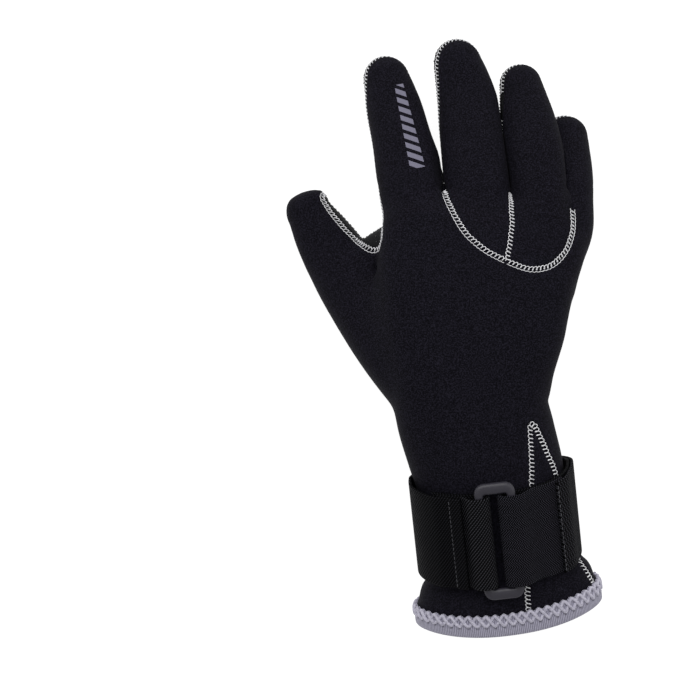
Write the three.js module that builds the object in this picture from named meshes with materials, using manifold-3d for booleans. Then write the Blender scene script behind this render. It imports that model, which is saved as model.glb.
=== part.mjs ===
// A right-hand dive glove in 3 mm neoprene, lying palm down on its hem and fingertips.
// Millimetres. +X is the little finger's side, +Y points to the fingertips, +Z is up, out of the back of the hand.
// The origin is on the surface that the glove lies on, under the middle of its box.
//
// The shell is swept tubes, one for the hand and forearm and one for each finger, joined and hollowed.
// Seam surfaces then cut it into the panels that such a glove is sewn from.
import * as THREE from 'three';
import { mergeVertices } from 'three/addons/utils/BufferGeometryUtils.js';
import Module from 'manifold-3d';

const wasm = await Module();
wasm.setup();

// Driving dimensions
const WALL = 3; // neoprene thickness
const SEAM_GAP = 0.3; // between panels that are sewn edge to edge
const BINDING_TAPE = 1.2; // knitted tape folded over the hem
const BINDING_WIDTH = 10.5;
const BINDING_GAP = 0.5; // between the tape and the hem inside it
const STRAP_WIDTH = 46;
const STRAP_THICKNESS = 1.6;
const LAYER_GAP = 0.35; // between things that lie on each other

// Tubes: each row is a section of the tube, from its root to its tip. x, y, z is the section's centre,
// wide and high are its half width and half height, and square is its exponent, 2 for an ellipse.
// thumb_side and little_side say how high the palm seam runs on each side, as a share of high.
// bow pushes the middle of the section towards the hem.
const COLUMNS = ['x', 'y', 'z', 'wide', 'high', 'square', 'thumb_side', 'little_side', 'bow'];
const HAND = [
  [14.2, -110, 27.5, 46.0, 26.6, 2.2, -0.7, -0.6, 5.5],
  [12.6, -98, 29.8, 43.0, 26.0, 2.2, -0.7, -0.6, 4.5],
  [9.8, -88, 31.8, 37.5, 25.1, 2.2, -0.7, -0.6, 2.5],
  [8.6, -77, 33.8, 36.5, 24.6, 2.2, -0.7, -0.6, 1],
  [3.4, -40, 41.0, 36.7, 24.2, 2.3, -0.7, -0.6, 0],
  [-0.6, -25, 43.8, 37.4, 23.6, 2.3, -0.7, -0.6, 0],
  [-4.8, -10, 46.0, 38.0, 22.8, 2.4, -0.7, -0.6, 0],
  [-5.6, 6, 47.2, 40.6, 22.2, 2.5, -0.75, -0.62, 0],
  [-4.6, 30, 46.8, 45.6, 21.4, 2.6, -0.75, -0.62, 0],
  [-1.4, 60, 43.2, 49.6, 19.8, 2.6, -0.55, -0.6, 0],
  [3.4, 82, 38.0, 51.6, 17.0, 2.6, 0.0, -0.6, 0],
  [4.2, 92, 35.0, 48.0, 12.0, 2.4, 0.1, -0.6, 0],
];
const FINGERS = {
  index: [
    [-25, 56, 43.0, 14.0, 14.5, 2.2, 0.0, -0.55, 0],
    [-32, 88, 36.5, 16.6, 14.2, 2.2, 0.05, -0.6, 0],
    [-35.6, 109, 30.0, 16.0, 13.2, 2.2, 0.1, -0.65, 0],
    [-38.9, 125, 24.0, 14.9, 12.2, 2.2, 0.1, -0.65, 0],
    [-43.3, 143, 16.0, 13.8, 11.2, 2.2, 0.15, -0.6, 0],
    [-46.2, 155.5, 10.6, 12.4, 10.2, 2.1, 0.25, -0.5, 0],
  ],
  middle: [
    [-1, 56, 45.0, 14.0, 14.5, 2.2, 0.0, -0.55, 0],
    [-1.2, 92, 37.6, 16.3, 14.0, 2.2, 0.05, -0.6, 0],
    [-2.5, 110, 31.8, 16.2, 13.4, 2.2, 0.1, -0.65, 0],
    [-4.2, 126, 25.6, 15.6, 12.6, 2.2, 0.1, -0.65, 0],
    [-6.5, 146, 16.8, 14.5, 11.4, 2.2, 0.15, -0.6, 0],
    [-10.4, 164, 10.4, 12.5, 10.2, 2.1, 0.25, -0.5, 0],
  ],
  ring: [
    [24, 56, 44.5, 13.0, 14.0, 2.2, 0.0, -0.55, 0],
    [29.4, 85, 39.0, 14.4, 13.2, 2.2, 0.05, -0.6, 0],
    [29.2, 100, 34.6, 14.4, 12.8, 2.2, 0.1, -0.65, 0],
    [26.6, 120, 27.4, 13.9, 12.0, 2.2, 0.1, -0.65, 0],
    [22.8, 139, 17.8, 12.9, 10.8, 2.2, 0.2, -0.6, 0],
    [20.2, 153.5, 10.6, 11.6, 9.8, 2.1, 0.35, -0.5, 0],
  ],
  little: [
    [36, 50, 41.0, 11.5, 12.5, 2.2, 0.0, -0.55, 0],
    [44.4, 80, 33.4, 11.8, 12.0, 2.2, 0.05, -0.6, 0],
    [45.0, 95, 27.8, 11.8, 11.4, 2.2, 0.1, -0.65, 0],
    [44.8, 110, 19.6, 11.6, 10.8, 2.2, 0.15, -0.65, 0],
    [43.2, 127.5, 10.4, 11.2, 9.8, 2.1, 0.3, -0.5, 0],
  ],
  thumb: [
    [-25, -10, 45.0, 13.0, 17.0, 2.2, -0.5, 0.2, 0],
    [-33, 2, 42.0, 15.2, 18.0, 2.2, -0.5, 0.3, 0],
    [-50, 32, 30.5, 18.3, 17.2, 2.2, -0.45, 0.4, 0],
    [-68.4, 62.3, 18.6, 16.2, 13.6, 2.2, -0.4, 0.55, 0],
    [-78.6, 79, 13.2, 13.4, 11.6, 2.2, -0.4, 0.6, 0],
    [-86.0, 89.5, 10.4, 11.4, 9.8, 2.1, -0.3, 0.6, 0],
  ],
};
// The fold of neoprene between the thumb and the index finger
const WEB = [
  [-69, 54, 18.5, 9.0, 8.0, 2.0, 0.1, -0.2, 0],
  [-60, 62, 21.5, 10.5, 10.5, 2.0, 0.6, 0.1, 0],
  [-38, 77, 32.0, 10.0, 10.0, 2.0, 0.9, 0.3, 0],
];
// Two neighbours that press on each other: the surface between them passes through two points on their
// axes' mid line, and leans so that the first finger lies over the second.
const PRESSED = [
  { pair: ['ring', 'little'], from: [37.8, 98, 31], to: [35.4, 122, 20], across: [0.86, 0, -0.5] },
  { pair: ['middle', 'ring'], from: [14.3, 98, 36], to: [10.4, 138, 20], across: [1, 0, 0] },
  { pair: ['index', 'middle'], from: [-19.0, 104, 34], to: [-21.5, 122, 28], across: [1, 0, 0] },
];
const PRESS_GAP = 0.6;

// Seams on the back, as points that a smooth curve passes through, in plan
const KNUCKLE_SEAM = [
  [-18.6, 101], [-18, 97], [-15.5, 90], [-9, 78], [1, 69], [12, 63.5], [24, 59.5], [35, 62.5], [42, 71],
  [45, 82], [44.6, 93], [44, 101],
];
const SPLIT_SEAM = [[11.5, 55], [12, 66], [14.2, 80], [14.3, 100]];
const HEEL_SEAM = [
  [60, 8], [42, -6], [30, -15], [18, -20], [5, -21.5], [-8, -21], [-20, -18.5], [-32, -13], [-46, -2], [-58, 13],
  [-66, 26], [-76, 42],
];
const GUSSET = { apex: [26.5, -17], inner_foot: [23, -122], outer_foot: [66, -122], outer_knee: [38, -40] };
const CUFF_SEAM = [[30, -12], [30, -40], [34, -85], [39.5, -125]];

const SIDES = { hand: 24, finger: 12, web: 8 };
const HOLLOW_SIDES = { hand: 24, finger: 8 };
const STATION_STEP = { hand: 16, finger: 14, web: 14 };
const CAP_RINGS = 2;
const UP = new THREE.Vector3(0, 0, 1);
const radians = THREE.MathUtils.degToRad;
const v2 = (x, y) => new THREE.Vector2(x, y);

// The values of a tube's columns at any distance along it, smoothly between its rows.
function tubeOf(rows) {
  const centres = rows.map((row) => new THREE.Vector3(...row));
  const lengths = [0];
  for (let i = 1; i < rows.length; i++) lengths.push(lengths[i - 1] + centres[i].distanceTo(centres[i - 1]));
  const spline = new THREE.CubicInterpolant(lengths, rows.flat(), COLUMNS.length);
  const length = lengths.at(-1);
  const at = (distance) => {
    const values = [...spline.evaluate(THREE.MathUtils.clamp(distance, 0, length))];
    return Object.fromEntries(COLUMNS.map((name, i) => [name, values[i]]));
  };
  return { length, at };
}

// The section's centre, its across and upright directions and the way along the tube.
function frameAt(tube, distance) {
  const inside = THREE.MathUtils.clamp(distance, 0, tube.length);
  const [before, here, after] = [inside - 1, inside, inside + 1].map((d) => tube.at(d));
  const along = new THREE.Vector3(after.x - before.x, after.y - before.y, after.z - before.z).normalize();
  const across = new THREE.Vector3().crossVectors(along, UP).normalize();
  const upright = new THREE.Vector3().crossVectors(across, along);
  const centre = new THREE.Vector3(here.x, here.y, here.z).addScaledVector(along, distance - inside);
  return { section: here, centre, across, upright, along };
}

// The outline of a section at one angle, 0 on the little finger's side and 90 degrees on the back.
function onSection(frame, degrees, grow, shrink = 1) {
  const { section, centre, across, upright, along } = frame;
  const power = 2 / section.square;
  const c = Math.cos(radians(degrees));
  const s = Math.sin(radians(degrees));
  const u = Math.sign(c) * Math.abs(c) ** power * (section.wide + grow) * shrink;
  const w = Math.sign(s) * Math.abs(s) ** power * (section.high + grow) * shrink;
  const bow = section.bow * s * s * (s > 0 ? 1 : 0.3);
  return centre.clone().addScaledVector(across, u).addScaledVector(upright, w).addScaledVector(along, -bow);
}

// A closed ring from its sections, the last joined to the first.
function ringSolid(sections) {
  const count = sections[0].length;
  const faces = [];
  sections.forEach((_, s) => {
    const after = ((s + 1) % sections.length) * count;
    for (let i = 0; i < count; i++) {
      const next = (i + 1) % count;
      faces.push(s * count + i, s * count + next, after + next, s * count + i, after + next, after + i);
    }
  });
  return solidOf(new THREE.BufferGeometry().setFromPoints(sections.flat()).setIndex(faces));
}

// A closed solid from rings of points, each ring with the same number of points, with flat ends.
function solidFromRings(rings) {
  const count = rings[0].length;
  const points = rings.flat();
  const middle = (ring) => ring.reduce((sum, p) => sum.add(p), new THREE.Vector3()).divideScalar(count);
  points.push(middle(rings[0]), middle(rings.at(-1)));
  const first = points.length - 2;
  const last = points.length - 1;
  const faces = [];
  for (let i = 0; i < count; i++) {
    const next = (i + 1) % count;
    for (let r = 0; r < rings.length - 1; r++) {
      const [a, b, c, d] = [r * count + i, r * count + next, (r + 1) * count + next, (r + 1) * count + i];
      faces.push(a, c, b, a, d, c);
    }
    faces.push(first, i, next);
    faces.push(last, (rings.length - 1) * count + next, (rings.length - 1) * count + i);
  }
  const geometry = new THREE.BufferGeometry().setFromPoints(points).setIndex(faces);
  return solidOf(geometry);
}

function solidOf(geometry) {
  const bare = geometry.clone();
  bare.deleteAttribute('normal');
  bare.deleteAttribute('uv');
  const merged = mergeVertices(bare, 1e-3);
  const solid = new wasm.Manifold(
    new wasm.Mesh({
      numProp: 3,
      vertProperties: merged.attributes.position.array,
      triVerts: new Uint32Array(merged.index.array),
    }),
  );
  if (solid.volume() > 0) return solid;
  const turned = merged.index.array.slice();
  for (let i = 0; i < turned.length; i += 3) [turned[i + 1], turned[i + 2]] = [turned[i + 2], turned[i + 1]];
  return new wasm.Manifold(
    new wasm.Mesh({
      numProp: 3,
      vertProperties: merged.attributes.position.array,
      triVerts: new Uint32Array(turned),
    }),
  );
}

const joined = (solids) => solids.reduce((sum, s) => sum.add(s));
const largest = (solid) => solid.decompose().sort((a, b) => b.volume() - a.volume())[0];

// Distances along a tube at which it gets a section.
function stations(tube, kind, from, to) {
  const count = Math.max(2, Math.round((to - from) / STATION_STEP[kind]));
  return Array.from({ length: count + 1 }, (_, i) => from + ((to - from) * i) / count);
}

// The plane that two neighbours press on, with its normal towards the second.
function planeBetween({ from, to, across }) {
  const point = new THREE.Vector3(...from);
  const way = new THREE.Vector3(...to).sub(point).normalize();
  const normal = new THREE.Vector3(...across);
  normal.addScaledVector(way, -normal.dot(way)).normalize();
  return { point, normal };
}

// What holds a tube's surface back: the floor, and a neighbour that it presses on.
function limitsOf(name, grow, floor) {
  const limits = [{ normal: UP.clone().negate(), point: new THREE.Vector3(0, 0, floor), spare: -grow }];
  for (const contact of PRESSED) {
    const side = contact.pair.indexOf(name);
    if (side < 0) continue;
    const { point, normal } = planeBetween(contact);
    if (side === 1) normal.negate();
    limits.push({ normal, point, spare: PRESS_GAP / 2 - grow });
  }
  return limits;
}

function press(point, limits) {
  for (const { normal, point: on, spare } of limits) {
    const past = point.clone().sub(on).dot(normal) + spare;
    if (past > 0) point.addScaledVector(normal, -past);
  }
  return point;
}

// A tube, grown or shrunk all round, from one distance along it to another. A rounded tip follows the last section.
function sweep(name, tube, kind, { grow = 0, from = 0, to = tube.length, tip = false, floor = 0 }) {
  const limits = limitsOf(name, grow, floor);
  const sides = grow === -WALL ? HOLLOW_SIDES[kind] : SIDES[kind];
  const ring = (frame, shrink) =>
    Array.from({ length: sides }, (_, i) => press(onSection(frame, (360 * i) / sides, grow, shrink), limits));
  const rings = stations(tube, kind, from, to).map((d) => ring(frameAt(tube, d), 1));
  if (tip) {
    const end = frameAt(tube, to);
    const reach = (end.section.wide + end.section.high) / 2 + grow;
    for (let k = 1; k <= CAP_RINGS; k++) {
      const turn = (k / (CAP_RINGS + 0.35)) * (Math.PI / 2);
      const moved = { ...end, centre: end.centre.clone().addScaledVector(end.along, reach * Math.sin(turn)) };
      rings.push(ring(moved, Math.cos(turn)));
    }
  }
  return solidFromRings(rings);
}

// What lies on the palm's side of a tube's seams: below the line that joins its two seam points.
function palmSide(tube, kind, raise) {
  const rings = [];
  const REACH = 1.2 + raise;
  const DEEP = 8;
  const PAST_TIP = 16;
  const places = [-REACH, ...stations(tube, kind, 0, tube.length), tube.length + PAST_TIP + raise];
  for (const distance of places) {
    const frame = frameAt(tube, distance);
    const { section, centre, across, upright } = frame;
    const { wide, high, square } = section;
    const seamPoint = (share) => v2(wide * (1 - Math.abs(share) ** square) ** (1 / square), share * high);
    const right = seamPoint(section.little_side);
    const left = seamPoint(section.thumb_side);
    left.x *= -1;
    const chord = right.clone().sub(left).normalize();
    const lift = v2(-chord.y, chord.x).multiplyScalar(raise);
    const clear = (share, point) => REACH + (share > 0 ? wide - Math.abs(point.x) : 0);
    left.addScaledVector(chord, -clear(section.thumb_side, left)).add(lift);
    right.addScaledVector(chord, clear(section.little_side, right)).add(lift);
    const bottom = -high - DEEP;
    const corners = [right, left, v2(left.x, bottom), v2(right.x, bottom)];
    rings.push(corners.map((p) => centre.clone().addScaledVector(across, p.x).addScaledVector(upright, p.y)));
  }
  return solidFromRings(rings);
}

// A smooth line in plan through a few points.
const smoothLine = (points, count) =>
  new THREE.SplineCurve(points.map((p) => new THREE.Vector2(...p))).getPoints(count);

// A standing wall of material over an outline in plan.
function standing(outline, low, high) {
  const geometry = new THREE.ExtrudeGeometry(new THREE.Shape(outline), {
    depth: high - low,
    bevelEnabled: false,
  });
  geometry.translate(0, 0, low);
  return solidOf(geometry);
}

// Moves a line in plan sideways, to its left.
function shifted(line, distance) {
  return line.map((p, i) => {
    const before = line[Math.max(i - 1, 0)];
    const after = line[Math.min(i + 1, line.length - 1)];
    const way = after.clone().sub(before).normalize();
    return new THREE.Vector2(p.x - way.y * distance, p.y + way.x * distance);
  });
}

const hand = tubeOf(HAND);
const fingers = Object.fromEntries(Object.entries(FINGERS).map(([name, rows]) => [name, tubeOf(rows)]));
const web = tubeOf(WEB);
const HEM_INSET = 1.8; // the neoprene ends this far inside the folded tape
const FLOOR = BINDING_TAPE + BINDING_GAP; // the cuff is held up by the tape under it
const HIGH = 90;
const LOW = -5;

// The hollow shell
const fingerTubes = (grow) =>
  Object.entries(fingers).map(([name, tube]) => sweep(name, tube, 'finger', { grow, tip: true }));
const outer = largest(
  joined([
    sweep('hand', hand, 'hand', { from: HEM_INSET, floor: FLOOR }),
    ...fingerTubes(0),
    sweep('web', web, 'web', {}),
  ]),
);
const hollow = largest(
  joined([
    sweep('hand', hand, 'hand', { grow: -WALL, from: -12, to: hand.length - WALL, floor: FLOOR }),
    ...fingerTubes(-WALL),
  ]),
);

// Palm panel: under the palm seam and above the seam round the heel of the hand
const heelLine = smoothLine(HEEL_SEAM, 20);
const aboveHeel = (spare) =>
  standing([...shifted(heelLine, spare), v2(-130, 60), v2(-130, 190), v2(90, 190), v2(90, 8)], LOW, HIGH);
const underSeam = (raise) =>
  joined([
    palmSide(hand, 'hand', raise),
    ...Object.values(fingers).map((tube) => palmSide(tube, 'finger', raise)),
    palmSide(web, 'web', raise),
  ]);
const palmBlock = (spare) => underSeam(spare).intersect(aboveHeel(spare));

// Panels set into the back over the middle and ring fingers
const knuckleLine = smoothLine(KNUCKLE_SEAM, 18);
const splitLine = smoothLine(SPLIT_SEAM, 5);
const FREE_FROM = 96; // from here on the fingers are apart
const FREE_TO = 200;
const { 0: ringLittle, 1: middleRing, 2: indexMiddle } = PRESSED.map(planeBetween);
// The room between two of those planes, past the place where the fingers part.
function between(leftPlane, rightPlane, spare) {
  const xOn = ({ point, normal }, y, z) =>
    point.x - (normal.y * (y - point.y) + normal.z * (z - point.z)) / normal.x;
  const corners = (y) => [
    new THREE.Vector3(xOn(leftPlane, y, LOW) - spare, y, LOW),
    new THREE.Vector3(xOn(rightPlane, y, LOW) + spare, y, LOW),
    new THREE.Vector3(xOn(rightPlane, y, HIGH) + spare, y, HIGH),
    new THREE.Vector3(xOn(leftPlane, y, HIGH) - spare, y, HIGH),
  ];
  return solidFromRings([corners(FREE_FROM - spare), corners(FREE_TO)]);
}
const knuckleArea = (spare) =>
  standing(shifted(knuckleLine, spare), 24, HIGH).add(between(indexMiddle, ringLittle, spare));
const middleHalf = (spare) => {
  const outline = [...shifted(splitLine, spare), v2(-40, FREE_FROM + 4), v2(-40, 50)];
  return standing(outline, 24, HIGH).add(between(indexMiddle, middleRing, spare));
};

// Gusset: a wedge let into the back of the cuff, so that it opens wide enough for the hand
const gussetArea = (spare) => {
  const { apex, inner_foot, outer_foot, outer_knee } = GUSSET;
  const outline = [
    v2(apex[0], apex[1] + spare * 3),
    v2(inner_foot[0] - spare, inner_foot[1]),
    v2(outer_foot[0] + spare, outer_foot[1]),
    v2(outer_knee[0] + spare, outer_knee[1] + spare),
  ];
  const lowest = (y) => 39.5 + 0.186 * (y + 40); // just under the cuff's widest line
  return solidFromRings([
    outline.map(({ x, y }) => new THREE.Vector3(x, y, lowest(y) - spare)),
    outline.map(({ x, y }) => new THREE.Vector3(x, y, HIGH)),
  ]);
};

// The seam that closes the cuff, on the palm's side
const cuffLine = smoothLine(CUFF_SEAM, 6);
const cuffSlit = standing(
  [...shifted(cuffLine, SEAM_GAP / 2), ...shifted(cuffLine, -SEAM_GAP / 2).reverse()],
  LOW,
  30,
);

const GAP = SEAM_GAP / 2;
const palmPanel = outer.subtract(hollow).intersect(palmBlock(-GAP));
const aroundPalm = outer.subtract(hollow).subtract(palmBlock(GAP));
const overFingers = aroundPalm.intersect(knuckleArea(GAP));
const middleBack = overFingers.intersect(middleHalf(GAP));
const ringBack = overFingers.subtract(middleHalf(-GAP));
const gusset = aroundPalm.intersect(gussetArea(-GAP));
const backPanel = aroundPalm.subtract(knuckleArea(-GAP)).subtract(gussetArea(GAP)).subtract(cuffSlit);

// Binding: tape folded over the hem, as a U all round
const bindingAt = (degrees) => {
  const outside = BINDING_GAP + BINDING_TAPE;
  const profile = [
    [BINDING_WIDTH, outside], [BINDING_TAPE, outside], [0, outside - 0.6], [0, -WALL - outside + 0.6],
    [BINDING_TAPE, -WALL - outside], [BINDING_WIDTH, -WALL - outside], [BINDING_WIDTH, -WALL - BINDING_GAP],
    [HEM_INSET - BINDING_GAP, -WALL - BINDING_GAP], [HEM_INSET - BINDING_GAP, BINDING_GAP],
    [BINDING_WIDTH, BINDING_GAP],
  ];
  return profile.map(([distance, grow]) =>
    press(onSection(frameAt(hand, distance), degrees, grow), limitsOf('hand', grow, FLOOR)),
  );
};
const binding = ringSolid(Array.from({ length: SIDES.hand }, (_, i) => bindingAt((360 * i) / SIDES.hand)));

// Strap: a flat elastic webbing that goes round the wrist and through the buckle and back over itself.
// It is drawn as a line round the wrist, seen along the forearm, then given its thickness and its width.
const STRAP_AT = { x: 6.3, y: -60.5, z: 37.3 };
const STRAP_LEAN = 0.25; // how far its top is set back towards the hem, for each mm of height
const FOREARM = { wide: 38.8, high: 26.3, square: 2.25 }; // the wrist under the strap
const BUCKLE = { width: 20, length: 58.5, thick: 3, bar: 4.2, end_bar: 5.4, corner: 5 };
const LAYER = STRAP_THICKNESS + LAYER_GAP;
const BAR_IN = BUCKLE.width / 2 - BUCKLE.bar;

// The line of the strap's middle at an angle round the wrist, so many layers out.
function roundWrist(degrees, layer) {
  const power = 2 / FOREARM.square;
  const [c, s] = [Math.cos(radians(degrees)), Math.sin(radians(degrees))];
  const off = LAYER_GAP + STRAP_THICKNESS / 2 + layer * LAYER;
  return v2(
    Math.sign(c) * Math.abs(c) ** power * (FOREARM.wide + off),
    Math.sign(s) * Math.abs(s) ** power * (FOREARM.high + off),
  );
}
const wristTop = (u, layer) =>
  v2(u, roundWrist(90, layer).y - (u * u * FOREARM.high) / (2 * FOREARM.wide * FOREARM.wide));

const buckleMiddle = roundWrist(90, 1).y + BUCKLE.thick / 2 - STRAP_THICKNESS / 2;
// The half turn round one side bar of the buckle, from under the bar to over it.
function roundBar(side) {
  const radius = (BUCKLE.thick + STRAP_THICKNESS) / 2 + LAYER_GAP;
  const inner = BAR_IN + 0.3;
  return Array.from({ length: 7 }, (_, i) => {
    const turn = radians(-90 + 30 * i);
    return v2(side * (inner + radius * 0.35 - radius * Math.cos(turn)), buckleMiddle + radius * Math.sin(turn));
  });
}
const arc = (from, to, count, layer) =>
  Array.from({ length: count + 1 }, (_, i) => roundWrist(from + ((to - from) * i) / count, layer));

const OVER_BAR = buckleMiddle + (BUCKLE.thick + STRAP_THICKNESS) / 2 + LAYER_GAP;
const strapLine = [
  wristTop(-22, 0),
  wristTop(-14, 0),
  wristTop(-9, 0.1),
  ...roundBar(-1),
  v2(-9, OVER_BAR - 0.05),
  v2(-12.5, OVER_BAR - 0.7),
  wristTop(-16.5, 1.7),
  wristTop(-20, 1.12),
  wristTop(-24, 0.9),
  ...arc(128, 360 + 72, 40, 0),
  wristTop(8.5, 0.1),
  ...roundBar(1),
  v2(9, OVER_BAR - 0.05),
  v2(12.5, OVER_BAR - 0.7),
  wristTop(16.5, 1.7),
  wristTop(20, 1.1),
  ...arc(57, 36, 3, 1),
];
const tapeLine = [...arc(46, 36, 1, 2.05), ...arc(30, -96, 20, 1.08), ...arc(-103, -110, 1, 1.3)];

// A ribbon's section from the line of its middle.
function ribbon(line, thickness) {
  const outlineOf = (side) => shifted(line, (side * thickness) / 2);
  return new THREE.Shape([...outlineOf(1), ...outlineOf(-1).reverse()]);
}
const strapFrame = new THREE.Matrix4();
{
  const at = Math.abs(STRAP_AT.y - HAND[0][1]);
  const { across, upright, along } = frameAt(hand, at);
  strapFrame.makeBasis(across, upright.addScaledVector(along, -STRAP_LEAN), along.negate());
  strapFrame.setPosition(STRAP_AT.x, STRAP_AT.y, STRAP_AT.z);
}
function strapPiece(shape, width, from = -width / 2, bevel = 0) {
  return new THREE.ExtrudeGeometry(shape, {
    depth: width,
    bevelEnabled: bevel > 0,
    bevelThickness: bevel,
    bevelSize: bevel,
    bevelOffset: -bevel,
    bevelSegments: 1,
    curveSegments: 4,
  }).translate(0, 0, from);
}

// Buckle: a flat moulded loop
function roundedBox(width, height, corner) {
  const [w, h, r] = [width / 2, height / 2, corner];
  const path = new THREE.Shape();
  path.moveTo(-w + r, -h);
  path.lineTo(w - r, -h).absarc(w - r, -h + r, r, -Math.PI / 2, 0);
  path.lineTo(w, h - r).absarc(w - r, h - r, r, 0, Math.PI / 2);
  path.lineTo(-w + r, h).absarc(-w + r, h - r, r, Math.PI / 2, Math.PI);
  path.lineTo(-w, -h + r).absarc(-w + r, -h + r, r, Math.PI, 1.5 * Math.PI);
  return path;
}
const buckleShape = roundedBox(BUCKLE.width, BUCKLE.length, BUCKLE.corner);
const SLOT_CORNER = 1;
buckleShape.holes.push(
  roundedBox(BUCKLE.width - 2 * BUCKLE.bar, BUCKLE.length - 2 * BUCKLE.end_bar, SLOT_CORNER),
);
const BUCKLE_BEVEL = 0.7;
const buckleGeometry = strapPiece(
  buckleShape,
  BUCKLE.thick - 2 * BUCKLE_BEVEL,
  -BUCKLE.thick / 2 + BUCKLE_BEVEL,
  BUCKLE_BEVEL,
)
  .rotateX(-Math.PI / 2)
  .translate(0, buckleMiddle, 0);

// Materials
const neoprene = (color, roughness) => new THREE.MeshStandardMaterial({ color, roughness, metalness: 0 });
const SKIN = neoprene(0x17171b, 0.85);
const GRIP = neoprene(0x141417, 0.7);
const TAPE = neoprene(0xa3a3b1, 0.9);
const WEBBING = neoprene(0x111112, 0.9);
const HOOK = neoprene(0x0e0e0f, 0.95);
const PLASTIC = neoprene(0x3d3d45, 0.45);

const meshOf = (name, geometry, material) => {
  const mesh = new THREE.Mesh(geometry, material);
  mesh.name = name;
  return mesh;
};
function geometryOf(solid) {
  const { vertProperties, triVerts, numProp, numVert } = solid.getMesh();
  const positions = new Float32Array(numVert * 3);
  for (let i = 0; i < numVert; i++) positions.set(vertProperties.subarray(i * numProp, i * numProp + 3), i * 3);
  const geometry = new THREE.BufferGeometry();
  geometry.setAttribute('position', new THREE.BufferAttribute(positions, 3));
  geometry.setIndex(new THREE.BufferAttribute(triVerts, 1));
  geometry.computeVertexNormals();
  return geometry;
}

// One piece, without the slivers that a cut along a surface leaves, and clear of the pieces made before it.
const made = [];
function pieceOf(solid) {
  let piece = largest(solid);
  for (let pass = 0; pass < 3; pass++) {
    const clear = made.reduce((left, other) => left.subtract(other), piece);
    piece = largest(solidOf(geometryOf(clear)));
  }
  made.push(piece);
  return geometryOf(piece);
}

const pieces = new THREE.Group();
pieces.add(
  meshOf('palm_panel', pieceOf(palmPanel), GRIP),
  meshOf('back_panel', pieceOf(backPanel), SKIN),
  meshOf('middle_back', pieceOf(middleBack), SKIN),
  meshOf('ring_back', pieceOf(ringBack), SKIN),
  meshOf('cuff_gusset', pieceOf(gusset), SKIN),
  meshOf('cuff_binding', pieceOf(binding), TAPE),
);

const strap = new THREE.Group();
const onWrist = (geometry) => geometry.applyMatrix4(strapFrame);
strap.add(
  meshOf('wrist_strap', onWrist(strapPiece(ribbon(strapLine, STRAP_THICKNESS), STRAP_WIDTH)), WEBBING),
  meshOf('hook_tape', onWrist(strapPiece(ribbon(tapeLine, STRAP_THICKNESS), STRAP_WIDTH)), HOOK),
  meshOf('strap_buckle', onWrist(buckleGeometry), PLASTIC),
);
pieces.add(strap);

// The tables above are drawn about a point under the heel of the palm. The origin is under the middle of the glove.
const MIDDLE = { x: -17.957, y: 26.716 };
pieces.position.set(-MIDDLE.x, -MIDDLE.y, 0);
const glove = new THREE.Group();
glove.add(pieces);

export default glove;
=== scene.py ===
import math
from itertools import groupby, product

import bmesh
import bpy
import numpy as np
from mathutils import Matrix, Vector
from mathutils.bvhtree import BVHTree
from mathutils.kdtree import KDTree


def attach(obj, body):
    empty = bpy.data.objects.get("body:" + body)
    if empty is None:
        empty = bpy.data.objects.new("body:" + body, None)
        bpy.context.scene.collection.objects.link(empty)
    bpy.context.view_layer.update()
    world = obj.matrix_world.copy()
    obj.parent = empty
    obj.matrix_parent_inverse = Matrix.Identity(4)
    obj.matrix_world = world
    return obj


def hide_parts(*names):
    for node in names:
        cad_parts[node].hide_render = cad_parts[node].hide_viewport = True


# A right-hand dive glove, lying palm down on its hem and fingertips.
# Shapes are drawn in millimetres about a point under the heel of the palm, as the CAD model's tables are,
# and are moved to the frame's origin and scaled to metres when a piece is finished.

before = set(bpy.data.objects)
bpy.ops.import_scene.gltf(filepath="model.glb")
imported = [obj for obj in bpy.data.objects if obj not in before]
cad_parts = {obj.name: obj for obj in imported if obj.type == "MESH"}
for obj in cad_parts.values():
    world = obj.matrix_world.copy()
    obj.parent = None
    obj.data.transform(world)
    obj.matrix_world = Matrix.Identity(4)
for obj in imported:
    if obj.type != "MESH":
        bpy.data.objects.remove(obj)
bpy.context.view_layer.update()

# Driving dimensions, in mm
MM = 0.001
MIDDLE = Vector((-17.957, 26.716, 0))
WALL = 3
VOXEL = 1.15
RING_STEP = 2.5
HEM_ROOM = 8
SIDES = {"hand": 96, "web": 32, "index": 48, "middle": 48, "ring": 48, "little": 48, "thumb": 48}
FLOOR_UNDER_NUBS = 0.45
ON_FLOOR = 0.02
BINDING_TAPE = 1.0
BINDING_WIDTH = 10.5
BINDING_GAP = 0.3
HEM_INSET = 1.8
BINDING_SIDES = 720
SCALLOP = 0.55
STRAP_WIDTH = 46
STRAP_THICKNESS = 1.6
LAYER_GAP = 0.35
SEAM_ROOM = 1.2  # how far past a tube's own seam its palm side may still reach
GROOVE_DEPTH = 0.75
GROOVE_WIDTH = 1.5
STITCH_PITCH = 2
STITCH_REACH = 1.15
STITCH_REACH_ON_GUSSET = 1.35
STITCH_LIFT = -0.6 * GROOVE_DEPTH
CHAIN_ENDS = 104  # beyond this the fingers' stitches have no chain beside them
SHORTEST_SEAM = 3
THREAD = 0.2
ZIGZAG_PITCH = 8.8
ZIGZAG_THREAD = 0.86
NUB_PITCH = 2.6
NUB_RADIUS = 0.5
NUBS_CLEAR_OF_SEAM = 1.9

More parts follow.
